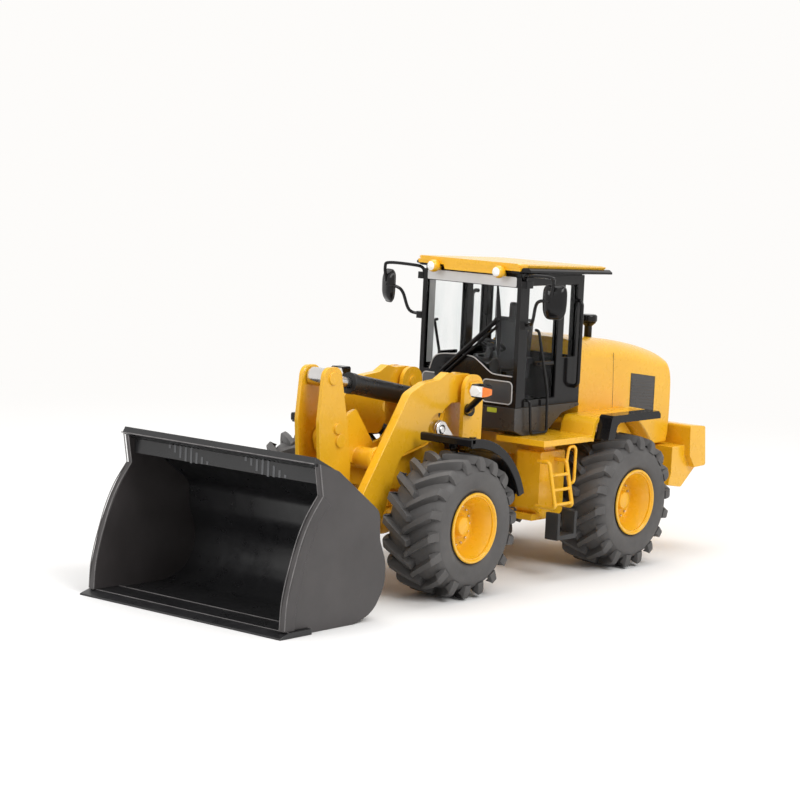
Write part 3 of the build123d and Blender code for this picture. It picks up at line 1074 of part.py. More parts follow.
# ---------------------------------------------------------------- cab fittings
def mirrors():
    """Rounded mirror outside each front pillar, on two bent arms with clamps."""
    y = CAB_HALF_WIDTH
    top = CAB_TOP_Z
    x = CAB_FRONT_X - 1.0
    inner = y + MIRROR_REACH
    head_top = top - 1.6
    mid = inner + MIRROR_WIDTH / 2
    radius = MIRROR_ARM_RADIUS
    back = x - 0.8
    head = box(back, back + MIRROR_THICKNESS, inner, inner + MIRROR_WIDTH, head_top - MIRROR_HEIGHT, head_top)
    head = fillet(head.edges().filter_by(Axis.X), 1.2)
    upper = tube_path([(x - 0.6, y + 0.4, top - 1.0), (x, y + 3.4, top - 0.1), (x, mid, top + 0.3),
                       (x - 0.1, mid, head_top - 0.6)], 0.5, radius)
    lower = tube_path([(x - 0.6, y + 0.4, top - 10.4), (x, y + 5.0, top - 9.6),
                       (x - 0.1, inner + 0.8, top - 6.0)], 0.8, radius)
    clamps = [box(x - 1.7, x + 0.4, y, y + 1.4, z - 0.8, z + 0.8) for z in (top - 1.8, top - 10.4)]
    save("mirrors", both(head.fuse(upper, lower, *clamps)))


def grab_rails():
    """Long bent rail on each door and an upright rail on each rear pillar."""
    y = CAB_HALF_WIDTH
    out = y + DOOR_RAIL_STAND
    front = CAB_FRONT_X
    floor = CAB_FLOOR_Z
    foot = PLATFORM_TOP_Z + 0.5
    top_x = front - 5.8
    end_x = front - 3.8
    door = tube_path([(top_x, y, floor + 16.8), (top_x, out, floor + 16.8), (front - 10.0, out, floor + 3.2),
                      (front - 10.4, out, foot), (front - 4.6, out, foot), (end_x, out, floor + 1.6),
                      (end_x, y, floor + 1.6)], 0.7, DOOR_RAIL_RADIUS)
    rail_x = CAB_BACK_X + 3.0
    far = y + BACK_RAIL_STAND
    high = floor + 22.9
    low = floor + 3.9
    rail = tube_path([(rail_x, y, high), (rail_x, far, high), (rail_x, far, low), (rail_x, y, low)],
                     1.2, BACK_RAIL_RADIUS)
    save("grab_rails", both(door) + both(rail))


def wiper():
    """Motor cover, double arm and upright blade on the windscreen."""
    x = CAB_FRONT_X
    floor = CAB_FLOOR_Z
    low = floor + 4.0
    tip = low + 14.4
    arm = rod((x + 0.5, WIPER_Y - 14.7, low), (x + 0.7, WIPER_Y + 0.1, tip), WIPER_ARM_RADIUS)
    thin = WIPER_ARM_RADIUS - 0.17
    second = rod((x + 0.5, WIPER_Y - 13.7, low - 0.4), (x + 0.7, WIPER_Y + 0.1, tip - 1.0), thin)
    motor = box(x, x + 1.0, WIPER_Y - 15.7, WIPER_Y - 12.9, low - 1.0, low + 1.0)
    blade_z = low + 6.0
    blade = box(x + 0.15, x + 0.9, WIPER_Y - 0.3, WIPER_Y + 0.3, blade_z, blade_z + WIPER_BLADE_LENGTH)
    save("wiper", arm.fuse(second, motor, blade))


# ---------------------------------------------------------------- ladders
def ladder_y(z):
    """Y of a ladder's leaning bars at a height."""
    return LADDER_TOP_Y + (LADDER_TOP_Z - z) * LADDER_LEAN / LADDER_HEIGHT


def ladders():
    """Leaning ladder with a grab loop on each tank, and a rubber step hung below it."""
    bar = LADDER_BAR / 2
    front = LADDER_FRONT_X
    back = LADDER_BACK_X
    top = LADDER_TOP_Z
    foot = LADDER_FOOT_Z
    stringers = []
    for x in (front, back):
        stringers.append(tube_path([(x, TANK_OUTER_Y, top), (x, LADDER_TOP_Y, top), (x, LADDER_FOOT_Y, foot),
                                    (x, TANK_OUTER_Y, foot)], 0.7, bar))
    rungs = []
    for i in range(RUNG_COUNT):
        z = foot + 0.8 + i * (LADDER_HEIGHT - 3.6) / (RUNG_COUNT - 1)
        rungs.append(rod((front + 0.1, ladder_y(z), z), (back - 0.1, ladder_y(z), z), bar - 0.07))
    y = LADDER_TOP_Y
    loop = tube_path([(back, y, top - 1.0), (back - 0.4, y + 0.2, top + 3.0), (back - 2.8, y + 0.4, top + 3.0),
                      (back - 2.4, y + 0.6, foot + 5.0), (back, y + 1.0, foot + 4.6)], 1.0, bar - 0.1)
    for name, side in SIDES.items():
        save(f"ladder_{name}", mirrored(stringers[0].fuse(stringers[1], loop, *rungs), side))
    inner = LADDER_FOOT_Y - 2.2
    outer = LADDER_FOOT_Y + 1.2
    step = box(back - 0.4, front + 0.4, inner, outer, STEP_BOTTOM_Z, foot - LADDER_BAR)
    window = box(back - 0.4 + STEP_WALL, front + 0.4 - STEP_WALL, inner - 1, outer + 1,
                 STEP_BOTTOM_Z + 1.0, foot + 1)
    save("rubber_steps", both(step - window))


def main():
    for build in (wheels, axles, front_frame, front_fenders, headlights, lift_arms, tilt_linkage, lift_cylinders,
                  steering_cylinders, bucket, rear_frame, platforms, hood, counterweight, cab, roof, interior,
                  mirrors, grab_rails, wiper, ladders):
        build()


main()
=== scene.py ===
"""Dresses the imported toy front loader: paint, rubber, glass, studio and camera."""
import json
import math

import bmesh
import bpy
import numpy as np
from mathutils import Matrix, Vector


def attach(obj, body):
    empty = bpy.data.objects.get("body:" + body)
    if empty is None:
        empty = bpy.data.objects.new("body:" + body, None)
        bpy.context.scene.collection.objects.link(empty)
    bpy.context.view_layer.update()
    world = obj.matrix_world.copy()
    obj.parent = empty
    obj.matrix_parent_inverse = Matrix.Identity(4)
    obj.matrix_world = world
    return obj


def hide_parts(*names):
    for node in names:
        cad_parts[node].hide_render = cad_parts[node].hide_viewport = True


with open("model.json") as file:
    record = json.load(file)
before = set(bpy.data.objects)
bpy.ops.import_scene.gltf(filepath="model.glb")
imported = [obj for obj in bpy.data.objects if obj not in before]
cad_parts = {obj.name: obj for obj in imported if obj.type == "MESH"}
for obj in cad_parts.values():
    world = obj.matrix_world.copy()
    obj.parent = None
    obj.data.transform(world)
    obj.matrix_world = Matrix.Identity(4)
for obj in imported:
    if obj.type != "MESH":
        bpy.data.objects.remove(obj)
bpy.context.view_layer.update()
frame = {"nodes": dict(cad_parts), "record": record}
MM = 0.001
SIDES = {"left": 1.0, "right": -1.0}


# ---------------------------------------------------------------- materials
def new_material(name):
    """Empty node material with a Principled shader; returns material, tree, shader and object coordinates."""
    material = bpy.data.materials.new(name)
    material.use_nodes = True
    tree = material.node_tree
    shader = tree.nodes["Principled BSDF"]
    place = tree.nodes.new("ShaderNodeTexCoord").outputs["Object"]
    return material, tree, shader, place


def noise(tree, place, scale, detail=3.0, stretch=None):
    """Fractal noise value on object coordinates; scale is in cycles per metre."""
    if stretch:
        mapping = tree.nodes.new("ShaderNodeMapping")
        mapping.inputs["Scale"].default_value = stretch
        tree.links.new(place, mapping.inputs["Vector"])
        place = mapping.outputs["Vector"]
    node = tree.nodes.new("ShaderNodeTexNoise")
    node.inputs["Scale"].default_value = scale
    node.inputs["Detail"].default_value = detail
    tree.links.new(place, node.inputs["Vector"])
    return node.outputs["Fac"]


def ramp(tree, value, low, high, dark, light):
    """Blend of two colours as a value runs from low to high."""
    node = tree.nodes.new("ShaderNodeValToRGB")
    node.color_ramp.elements[0].position = low
    node.color_ramp.elements[1].position = high
    node.color_ramp.elements[0].color = (*dark, 1)
    node.color_ramp.elements[1].color = (*light, 1)
    tree.links.new(value, node.inputs["Fac"])
    return node.outputs["Color"]


def spread(tree, value, low, high):
    """Value remapped from 0.3..0.7 to low..high."""
    node = tree.nodes.new("ShaderNodeMapRange")
    node.inputs["From Min"].default_value = 0.3
    node.inputs["From Max"].default_value = 0.7
    node.inputs["To Min"].default_value = low
    node.inputs["To Max"].default_value = high
    tree.links.new(value, node.inputs["Value"])
    return node.outputs["Result"]


def bump(tree, shader, value, height, strength=1.0):
    """Surface relief of a given height in metres."""
    node = tree.nodes.new("ShaderNodeBump")
    node.inputs["Distance"].default_value = height
    node.inputs["Strength"].default_value = strength
    tree.links.new(value, node.inputs["Height"])
    tree.links.new(node.outputs["Normal"], shader.inputs["Normal"])


def surface(name, dark, light, rough, patch=90.0, grain=1500.0, relief=0.00001, metal=0.0, coat=0.0, coat_rough=0.1,
            specular=0.5):
    """Finish with cloudy colour, uneven gloss and a fine relief."""
    material, tree, shader, place = new_material(name)
    cloud = noise(tree, place, patch, 4.0)
    tree.links.new(ramp(tree, cloud, 0.3, 0.7, dark, light), shader.inputs["Base Color"])
    fine = noise(tree, place, grain, 2.0)
    tree.links.new(spread(tree, noise(tree, place, patch * 5, 3.0), *rough), shader.inputs["Roughness"])
    bump(tree, shader, fine, relief)
    shader.inputs["Metallic"].default_value = metal
    shader.inputs["Coat Weight"].default_value = coat
    shader.inputs["Coat Roughness"].default_value = coat_rough
    shader.inputs["Specular IOR Level"].default_value = specular
    return material


def clear(name, tint, rough, patch):
    """Clear plastic with faint cloudy streaks in its gloss."""
    material, tree, shader, place = new_material(name)
    streak = noise(tree, place, patch, 3.0, (1.0, 1.0, 0.3))
    tree.links.new(ramp(tree, streak, 0.35, 0.65, tint, (1.0, 1.0, 1.0)), shader.inputs["Base Color"])
    tree.links.new(spread(tree, streak, *rough), shader.inputs["Roughness"])
    shader.inputs["Transmission Weight"].default_value = 1.0
    shader.inputs["IOR"].default_value = 1.12
    return material


def make_materials():
    """Every finish of the model, by name."""
    return {
        "yellow": surface("satin_yellow_enamel", (0.80, 0.420, 0.011), (0.85, 0.455, 0.015), (0.24, 0.34),
                          relief=0.000003, coat=0.3, coat_rough=0.16),
        "black": surface("satin_black_enamel", (0.010, 0.010, 0.011), (0.016, 0.016, 0.017), (0.24, 0.36),
                         relief=0.000004, specular=0.35),
        "gloss": surface("gloss_black_plastic", (0.006, 0.006, 0.007), (0.011, 0.010, 0.010), (0.10, 0.18),
                         relief=0.000003, specular=0.20, coat=0.10, coat_rough=0.04),
        "bucket": surface("satin_bucket_paint", (0.009, 0.009, 0.010), (0.016, 0.016, 0.017), (0.26, 0.40),
                          relief=0.000008),
        "cheek": surface("grey_bucket_cheek", (0.036, 0.032, 0.032), (0.052, 0.047, 0.047), (0.30, 0.42),
                         relief=0.000008),
        # Pale grey for thin tubes that paint highlights along the bucket's edges.
        "edge": surface("painted_highlight_grey", (0.09, 0.085, 0.085), (0.18, 0.17, 0.17), (0.25, 0.4), patch=400.0),
        "slot": surface("slot_grey", (0.060, 0.062, 0.066), (0.085, 0.087, 0.092), (0.3, 0.45)),
        "post": surface("pale_clear_post", (0.50, 0.50, 0.50), (0.62, 0.62, 0.62), (0.12, 0.2), coat=0.5),
        "rubber": surface("tyre_rubber", (0.066, 0.063, 0.062), (0.098, 0.094, 0.092), (0.50, 0.70), grain=2600.0,
                          relief=0.00003, specular=0.4),
        "soft": surface("step_rubber", (0.016, 0.016, 0.016), (0.028, 0.027, 0.027), (0.5, 0.7), relief=0.00002),
        "plastic": surface("dark_moulded_plastic", (0.020, 0.020, 0.022), (0.036, 0.036, 0.038), (0.42, 0.58),
                           relief=0.000018),
        "grey": surface("grey_moulded_plastic", (0.034, 0.032, 0.031), (0.050, 0.047, 0.045), (0.24, 0.38),
                        relief=0.000006),
        "steel": surface("bright_steel", (0.62, 0.61, 0.60), (0.75, 0.74, 0.73), (0.16, 0.28), metal=1.0),
        "amber": surface("amber_lens", (0.75, 0.16, 0.01), (0.85, 0.22, 0.015), (0.12, 0.2), coat=0.5),
        "lens": surface("pale_lens", (0.86, 0.87, 0.86), (0.92, 0.93, 0.92), (0.10, 0.18), coat=0.5),
        "gasket": surface("pale_gasket", (0.42, 0.41, 0.40), (0.55, 0.54, 0.53), (0.3, 0.45)),
        "pane": surface("smoked_lower_pane", (0.060, 0.060, 0.062), (0.085, 0.085, 0.087), (0.12, 0.2), coat=0.4),
        "decal": surface("blank_decal", (0.52, 0.58, 0.04), (0.60, 0.66, 0.06), (0.3, 0.4)),
        "glass": clear("clear_glazing", (0.90, 0.92, 0.92), (0.03, 0.10), 160.0),
    }


FINISH = make_materials()


# ---------------------------------------------------------------- mesh helpers
def add_mesh(name, verts, faces, material, body, smooth=True):
    """New piece from vertices in metres and faces, riding on a body."""
    mesh = bpy.data.meshes.new(name)
    mesh.from_pydata(np.asarray(verts, float).reshape(-1, 3).tolist(), [], faces)
    mesh.update()
    if smooth:
        mesh.shade_smooth()
    mesh.materials.append(FINISH[material])
    piece = bpy.data.objects.new(name, mesh)
    bpy.context.scene.collection.objects.link(piece)
    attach(piece, body)
    return piece


def outward(piece):
    """Turn every face of a piece outwards."""
    work = bmesh.new()
    work.from_mesh(piece.data)
    bmesh.ops.recalc_face_normals(work, faces=work.faces)
    work.to_mesh(piece.data)
    work.free()


def grid_faces(rows, columns, wrap_rows=False, wrap_columns=False, first=0):
    """Quads between neighbouring points of a grid stored row by row."""
    faces = []
    for j in range(rows if wrap_rows else rows - 1):
        for i in range(columns if wrap_columns else columns - 1):
            below = (j + 1) % rows
            beside = (i + 1) % columns
            faces.append((first + j * columns + i, first + j * columns + beside,
                          first + below * columns + beside, first + below * columns + i))
    return faces


def joined(parts):
    """One vertex array and one face list out of several."""
    verts = []
    faces = []
    count = 0
    for points, quads in parts:
        points = np.asarray(points, float).reshape(-1, 3)
        verts.append(points)
        faces += [tuple(index + count for index in quad) for quad in quads]
        count += len(points)
    return np.vstack(verts), faces


def hard_piece(name, parts, material, body, node=None, sharp=35.0):
    """Piece in millimetres with flats kept flat, which may stand for a CAD node."""
    verts, faces = joined(parts)
    piece = add_mesh(name, verts * MM, faces, material, body)
    outward(piece)
    even_shading(piece, sharp)
    if node:
        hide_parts(node)
    return piece


def lathe(profile, place, side=1.0, count=96):
    """Surface of revolution about the Y axis: x = r cos a, z = r sin a for (r, y) of a closed profile."""
    radius, along = np.asarray(profile, float).T
    angle = np.linspace(0.0, 2 * math.pi, count, endpoint=False)
    x = place[0] + radius[:, None] * np.cos(angle)
    y = place[1] + side * along[:, None] + 0 * angle
    z = place[2] + radius[:, None] * np.sin(angle)
    return np.stack([x, y, z], axis=-1), grid_faces(len(radius), count, True, True)


def smooth_path(points, steps=6):
    """Catmull-Rom curve through 3-D points: cubic pieces whose tangents join a point's neighbours."""
    points = np.asarray(points, float)
    padded = np.vstack([2 * points[0] - points[1], points, 2 * points[-1] - points[-2]])
    out = []
    for i in range(len(points) - 1):
        a, b, c, d = padded[i:i + 4]
        for t in np.linspace(0.0, 1.0, steps, endpoint=False):
            out.append(0.5 * (2 * b + (c - a) * t + (2 * a - 5 * b + 4 * c - d) * t ** 2
                              + (3 * b - a - 3 * c + d) * t ** 3))
    return np.array(out + [points[-1]])


def tube(path, radius, count=10, closed=False, flat=1.0):
    """Circle of a radius swept along a path, turned as little as possible from point to point."""
    path = np.asarray(path, float)
    ahead = np.roll(path, -1, axis=0) - np.roll(path, 1, axis=0)
    if not closed:
        ahead[0] = path[1] - path[0]
        ahead[-1] = path[-1] - path[-2]
    ahead /= np.linalg.norm(ahead, axis=1, keepdims=True)
    normal = np.cross(ahead[0], (0.0, 0.0, 1.0) if abs(ahead[0][2]) < 0.9 else (1.0, 0.0, 0.0))
    rings = []
    angle = np.linspace(0.0, 2 * math.pi, count, endpoint=False)
    for point, way in zip(path, ahead):
        normal = normal - way * normal.dot(way)
        normal /= np.linalg.norm(normal)
        other = np.cross(way, normal)
        rings.append(point + radius * (np.cos(angle)[:, None] * normal + flat * np.sin(angle)[:, None] * other))
    faces = grid_faces(len(path), count, closed, True)
    if not closed:
        faces += [tuple(range(count)), tuple((len(path) - 1) * count + i for i in range(count))]
    return np.array(rings), faces


def slab(outline, low, high, axis="x"):
    """Flat plate with an outline across one axis, between two values along it."""
    order = {"x": (2, 0, 1), "y": (0, 2, 1), "z": (0, 1, 2)}[axis]
    outline = np.asarray(outline, float)
    count = len(outline)
    rings = []
    for level in (low, high):
        points = np.column_stack([outline, np.full(count, float(level))])
        rings.append(points[:, order])
    faces = grid_faces(2, count, False, True)
    return np.array(rings), faces + [tuple(range(count)), tuple(range(count, 2 * count))]


def rounded_box(low, high, radius, steps=4):
    """Corners of a rectangle between two 2-D points, rounded by quarter circles."""
    corners = [(high[0], high[1], 0), (low[0], high[1], 90), (low[0], low[1], 180), (high[0], low[1], 270)]
    out = []
    for x, y, start in corners:
        cx = x - radius if x == high[0] else x + radius
        cy = y - radius if y == high[1] else y + radius
        for angle in np.radians(np.linspace(start, start + 90, steps + 1)):
            out.append((cx + radius * math.cos(angle), cy + radius * math.sin(angle)))
    return out


def even_shading(piece, sharp=40.0):
    """Keep flats flat: hard edges above an angle and normals weighted by face area."""
    piece.data.set_sharp_from_angle(angle=math.radians(sharp))
    weighted = piece.modifiers.new("flat faces", "WEIGHTED_NORMAL")
    weighted.keep_sharp = True


def softened(node, material, body, width=0.12, name=None):
    """Copy of a CAD node with merged faces and rounded edges, which stands for the node."""
    source = frame["nodes"][node]
    work = bmesh.new()
    work.from_mesh(source.data)
    bmesh.ops.remove_doubles(work, verts=work.verts, dist=2e-6)
    bmesh.ops.dissolve_limit(work, angle_limit=math.radians(0.05), verts=work.verts, edges=work.edges)
    mesh = bpy.data.meshes.new(node + "_shape")
    work.to_mesh(mesh)
    work.free()
    mesh.materials.clear()
    mesh.materials.append(FINISH[material])
    mesh.shade_smooth()
    piece = bpy.data.objects.new(name or node + "_painted", mesh)
    bpy.context.scene.collection.objects.link(piece)
    bevel = piece.modifiers.new("rounded edges", "BEVEL")
    bevel.width = width * MM
    bevel.segments = 2
    bevel.limit_method = "ANGLE"
    bevel.angle_limit = math.radians(38)
    bevel.use_clamp_overlap = True
    bevel.harden_normals = False
    even_shading(piece)
    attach(piece, body)
    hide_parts(node)
    return piece


def finish_node(node, material):
    """A CAD node keeps its shape and gets a finish."""
    slots = frame["nodes"][node].material_slots
    for slot in slots:
        slot.material = FINISH[material]
    if not slots:
        frame["nodes"][node].data.materials.append(FINISH[material])


# ---------------------------------------------------------------- painted pieces
NODE_BODY = {node: body for body, nodes in frame["record"]["behaviour"]["bodies"].items() for node in nodes}
NODE_FINISH = {
    "yellow": ["arm_pivot_pins", "front_frame", "front_axle", "rear_axle", "rear_frame", "lift_arm_left",
               "lift_arm_right", "cross_tube", "tilt_lever", "tilt_link", "counterweight", "platform_left",
               "platform_right", "ladder_left", "ladder_right"],
    "gloss": ["front_fender_left", "front_fender_right", "headlight_housings", "cab_frame", "grab_rails",
              "precleaner"],
    "black": ["tilt_cylinder_barrel", "lift_cylinder_barrel_left", "lift_cylinder_barrel_right",
              "steering_barrel_left", "steering_barrel_right"],
    "bucket": ["bucket_shell", "cutting_edge", "spill_guard"],
    "cheek": ["bucket_sides"],
    "soft": ["rubber_steps"],
    "plastic": ["seat", "dashboard", "steering_wheel"],
    "grey": ["cab_base"],
    "steel": ["hitch_pin", "bucket_pins", "tilt_cylinder_rod", "lift_cylinder_rod_left", "lift_cylinder_rod_right",
              "steering_rod_left", "steering_rod_right"],
        "glass": ["cab_glass"],
}
KEPT = ["cab_glass"]
EDGE_WIDTH = {"bucket_shell": 0.05}


def paint_nodes():
    """Round the edges of every CAD node and give it its finish."""
    for material, nodes in NODE_FINISH.items():
        for node in nodes:
            if node in KEPT:
                finish_node(node, material)
            else:
                softened(node, material, NODE_BODY[node], EDGE_WIDTH.get(node, 0.12))


# ---------------------------------------------------------------- wheels
WHEEL_X = {"front": 29.0, "rear": -29.0}
WHEEL_Z = 15.0
TYRE_MIDDLE_Y = 19.1
TYRE_HALF_WIDTH = 6.8
WALL_RADIUS = 10.0
WALL_HEIGHT = 3.5
LUG_COUNT = 18
LUG_RADIUS = 15.0
LUG_SWEEP = 4.5
ROUNDNESS = 3.2


def carcass_profile():
    """Carcass section from bead to bead over the crown, with a raised panel on each side wall.

    With n = ROUNDNESS, y = a sin(t)^(2/n) and r = c + b cos(t)^(2/n), a superellipse about the wall's middle.
    """
    angle = np.radians(np.linspace(-128, 128, 61))
    power = 2.0 / ROUNDNESS
    y = TYRE_HALF_WIDTH * np.sign(np.sin(angle)) * np.abs(np.sin(angle)) ** power
    radius = WALL_RADIUS + WALL_HEIGHT * np.sign(np.cos(angle)) * np.abs(np.cos(angle)) ** power
    y -= np.sign(y) * 0.14 * (radius > 11.7)
    ends = [(6.5, -5.7), (6.5, 5.7)]
    return np.vstack([[ends[0]], np.column_stack([radius, y]), [ends[1]]])


def lug_section():
    """Rows along a lug from its nose near the centre line over the shoulder and down the side wall.

    Over the crown y = 6.4 t - 0.4 and r = R - 0.35 t^3. Round the shoulder y and r follow a
    quarter wave. Each row holds (y, r, circumferential offset) across the lug, foot to foot.
    """
    crown = np.linspace(0.0, 1.0, 10)
    turn = np.linspace(0.0, 1.0, 9)[1:]
    y = np.concatenate([6.4 * crown - 0.4, 6.0 + 0.74 * np.sin(turn * math.pi / 2)])
    top = LUG_RADIUS - 0.35
    radius = np.concatenate([LUG_RADIUS - 0.35 * crown ** 3, top - 2.75 * turn ** 1.4])
    width = np.concatenate([1.25 + 0.30 * crown, 1.55 + 0.75 * turn])
    depth = np.concatenate([1.75 - 0.1 * crown, 1.65 - 1.1 * turn])
    travel = np.gradient(np.column_stack([y, radius]), axis=0)
    travel /= np.linalg.norm(travel, axis=1, keepdims=True)
    inward = np.column_stack([travel[:, 1], -travel[:, 0]])
    sweep = LUG_SWEEP * np.clip((y + 0.4) / 7.0, 0.0, 1.0) ** 0.92
    across = [(1.0, 0.46, 1.0), (1.0, 0.16, 0.55), (1.0, 0.0, 0.10), (1.0, -0.10, 0.0)]
    rows = []
    sunk = [1] + [0] * len(y) + [1]
    for level, i in zip(sunk, [0, *range(len(y)), len(y) - 1]):
        row = []
        for sign, nodes in ((-1, across), (1, across[::-1])):
            for scale, flare, sink in nodes:
                down = depth[i] * (1.05 if level else sink)
                lateral = sign * (scale * width[i] / 2 + flare * depth[i] / 1.7)
                point = np.array([y[i], radius[i]]) + inward[i] * down
                nose = -0.3 if level and i == 0 else 0.0
                row.append((point[0] + nose, point[1], sweep[i] + lateral))
        rows.append(row)
    return np.array(rows)


def tyre(end, side):
    """Carcass and two staggered rows of curved lugs whose outer ends trail."""
    sign = SIDES[side]
    centre = (WHEEL_X[end], sign * TYRE_MIDDLE_Y, WHEEL_Z)
    parts = [lathe(carcass_profile(), centre, sign, 120)]
    section = lug_section()
    rows, columns = section.shape[:2]
    faces = grid_faces(rows, columns)
    for half in (-1.0, 1.0):
        stagger = 80.0 if half > 0 else 90.0
        for i in range(LUG_COUNT):
            angle = math.radians(stagger + 360.0 * i / LUG_COUNT) + section[:, :, 2] / LUG_RADIUS
            x = centre[0] + section[:, :, 1] * np.cos(angle)
            y = centre[1] + sign * half * section[:, :, 0]
            z = centre[2] + section[:, :, 1] * np.sin(angle)
            parts.append((np.stack([x, y, z], axis=-1), faces))
    node = f"tyre_{end}_{side}"
    hard_piece(node + "_rubber", parts, "rubber", NODE_BODY[node], node, 38.0)


RIM_OUTER_Y = 6.7
DISC_Y = RIM_OUTER_Y - 5.1
CAP_Y = DISC_Y + 2.3
RIM_PROFILE = [
    (0.05, CAP_Y), (1.3, CAP_Y), (1.8, CAP_Y - 0.2), (2.05, CAP_Y - 0.6), (2.2, DISC_Y + 0.9), (2.6, DISC_Y + 0.5),
    (3.2, DISC_Y + 0.35), (3.35, DISC_Y), (4.75, DISC_Y), (4.95, DISC_Y + 0.25), (5.1, DISC_Y + 0.8),
    (5.25, DISC_Y + 1.4), (5.42, DISC_Y + 1.75), (5.55, DISC_Y + 2.3), (5.74, DISC_Y + 2.65), (5.88, DISC_Y + 3.1),
    (6.12, DISC_Y + 3.5), (6.28, DISC_Y + 4.0), (6.55, DISC_Y + 4.4), (6.72, RIM_OUTER_Y - 0.3),
    (6.85, RIM_OUTER_Y - 0.06), (7.05, RIM_OUTER_Y), (7.25, RIM_OUTER_Y - 0.06), (7.35, RIM_OUTER_Y - 0.22),
    (7.32, RIM_OUTER_Y - 0.42), (7.0, RIM_OUTER_Y - 0.5), (6.45, RIM_OUTER_Y - 0.5), (6.45, 0.5 - RIM_OUTER_Y),
    (7.3, 0.5 - RIM_OUTER_Y), (7.35, 0.1 - RIM_OUTER_Y), (6.9, -RIM_OUTER_Y), (6.1, 0.2 - RIM_OUTER_Y),
    (5.85, 0.8 - RIM_OUTER_Y), (5.85, DISC_Y - 1.2), (2.25, DISC_Y - 1.2), (2.25, -4.8), (1.25, -4.8),
    (1.25, CAP_Y - 1.1), (0.05, CAP_Y - 1.1)]


def rim(end, side):
    """Deep-dish rim with stepped barrel, hub cap and a ring of moulded bolts in bright steel, which paints their
    highlights.
    """
    sign = SIDES[side]
    centre = (WHEEL_X[end], sign * TYRE_MIDDLE_Y, WHEEL_Z)
    node = f"rim_{end}_{side}"
    hard_piece(node + "_painted", [lathe(RIM_PROFILE, centre, sign)], "yellow", NODE_BODY[node], node, 30.0)
    bolts_painted_glint = []
    for i in range(16):
        angle = 2 * math.pi * i / 16
        spot = (centre[0] + 4.1 * math.cos(angle), centre[1], centre[2] + 4.1 * math.sin(angle))
        head = [(0.02, DISC_Y + 0.46), (0.2, DISC_Y + 0.4), (0.3, DISC_Y + 0.25), (0.3, DISC_Y - 0.1),
                (0.02, DISC_Y - 0.1)]
        bolts_painted_glint.append(lathe(head, spot, sign, 8))
    # Bright steel on the moulded bolts is a painted highlight.
    hard_piece(node + "_bolts_painted_glint", bolts_painted_glint, "steel", NODE_BODY[node])


# ---------------------------------------------------------------- cab
CAB_FRONT = 1.2
CAB_HALF = 13.6
PILLAR_WIDTH = 1.1
COWL_EDGE = [(-10.6, 43.0), (-9.6, 45.4), (-7.8, 46.5), (-3.0, 46.9), (1.0, 46.8), (2.8, 46.1), (6.3, 43.9),
             (8.0, 43.5), (12.4, 43.4)]


def cab_front():
    """Gloss cowl below the windscreen with its pale edge, and the two lower panes."""
    body = NODE_BODY["cab_frame"]
    edge = smooth_path([(0.0, y, z) for y, z in COWL_EDGE], 4)[:, 1:]
    outline = [(-10.6, 42.4), *edge.tolist(), (12.4, 42.4)]
    hard_piece("cowl", [slab(outline[::-1], CAB_FRONT - 0.6, CAB_FRONT + 0.08)], "gloss", body)
    line = [(CAB_FRONT + 0.08, y, z) for y, z in edge]
    hard_piece("cowl_edge", [tube(line, 0.13, 8)], "gasket", body)
    for name, side in SIDES.items():
        shape = rounded_box((4.4, 37.3), (12.5, 42.2), 1.0)
        pane = [(side * y, z) for y, z in shape]
        hard_piece(f"lower_pane_{name}", [slab(pane, CAB_FRONT - 0.2, CAB_FRONT + 0.05)], "pane", body)
        loop = [(CAB_FRONT + 0.06, y, z) for y, z in pane]
        hard_piece(f"lower_gasket_{name}", [tube(loop, 0.14, 8, True)], "gasket", body)
    decal = rounded_box((6.0, 35.2), (8.6, 36.2), 0.15, 2)
    hard_piece("blank_decal", [slab(decal, CAB_FRONT - 0.1, CAB_FRONT + 0.05)], "decal", body)


MIRROR_CENTRE = (1.6, 22.9, 60.4)
MIRROR_TOE = math.radians(24.0)


def mirror_head(side):
    """Domed housing: x = d (1 - q^4), y = a q f cos t, z = b q sin t, with a superellipse outline."""
    q = np.linspace(0.0, 1.0, 9)[:, None]
    t = np.linspace(0.0, 2 * math.pi, 40, endpoint=False)
    cosine = np.sign(np.cos(t)) * np.abs(np.cos(t)) ** 0.42
    sine = np.sign(np.sin(t)) * np.abs(np.sin(t)) ** 0.42
    narrow = 1.0 - 0.22 * np.clip(-sine, 0.0, 1.0) ** 2
    y = 2.55 * q * cosine * narrow
    z = 3.65 * q * sine
    x = 1.3 * (1.0 - q ** 4) + 0 * t
    front = np.stack([x, y, z], axis=-1)
    back = np.stack([np.full(y[-1:].shape, -0.35), y[-1:] * 0.94, z[-1:] * 0.94], axis=-1)
    grid = np.concatenate([front, back])
    turn = np.array([[math.cos(MIRROR_TOE), -math.sin(MIRROR_TOE)], [math.sin(MIRROR_TOE), math.cos(MIRROR_TOE)]])
    grid[:, :, :2] = grid[:, :, :2] @ turn.T
    grid += np.array(MIRROR_CENTRE)
    rim_line = grid[8].copy()
    grid[:, :, 1] *= side
    rim_line[:, 1] *= side
    rows, columns = grid.shape[:2]
    faces = grid_faces(rows, columns, False, True) + [tuple((rows - 1) * columns + i for i in range(columns))]
    return (grid, faces), rim_line


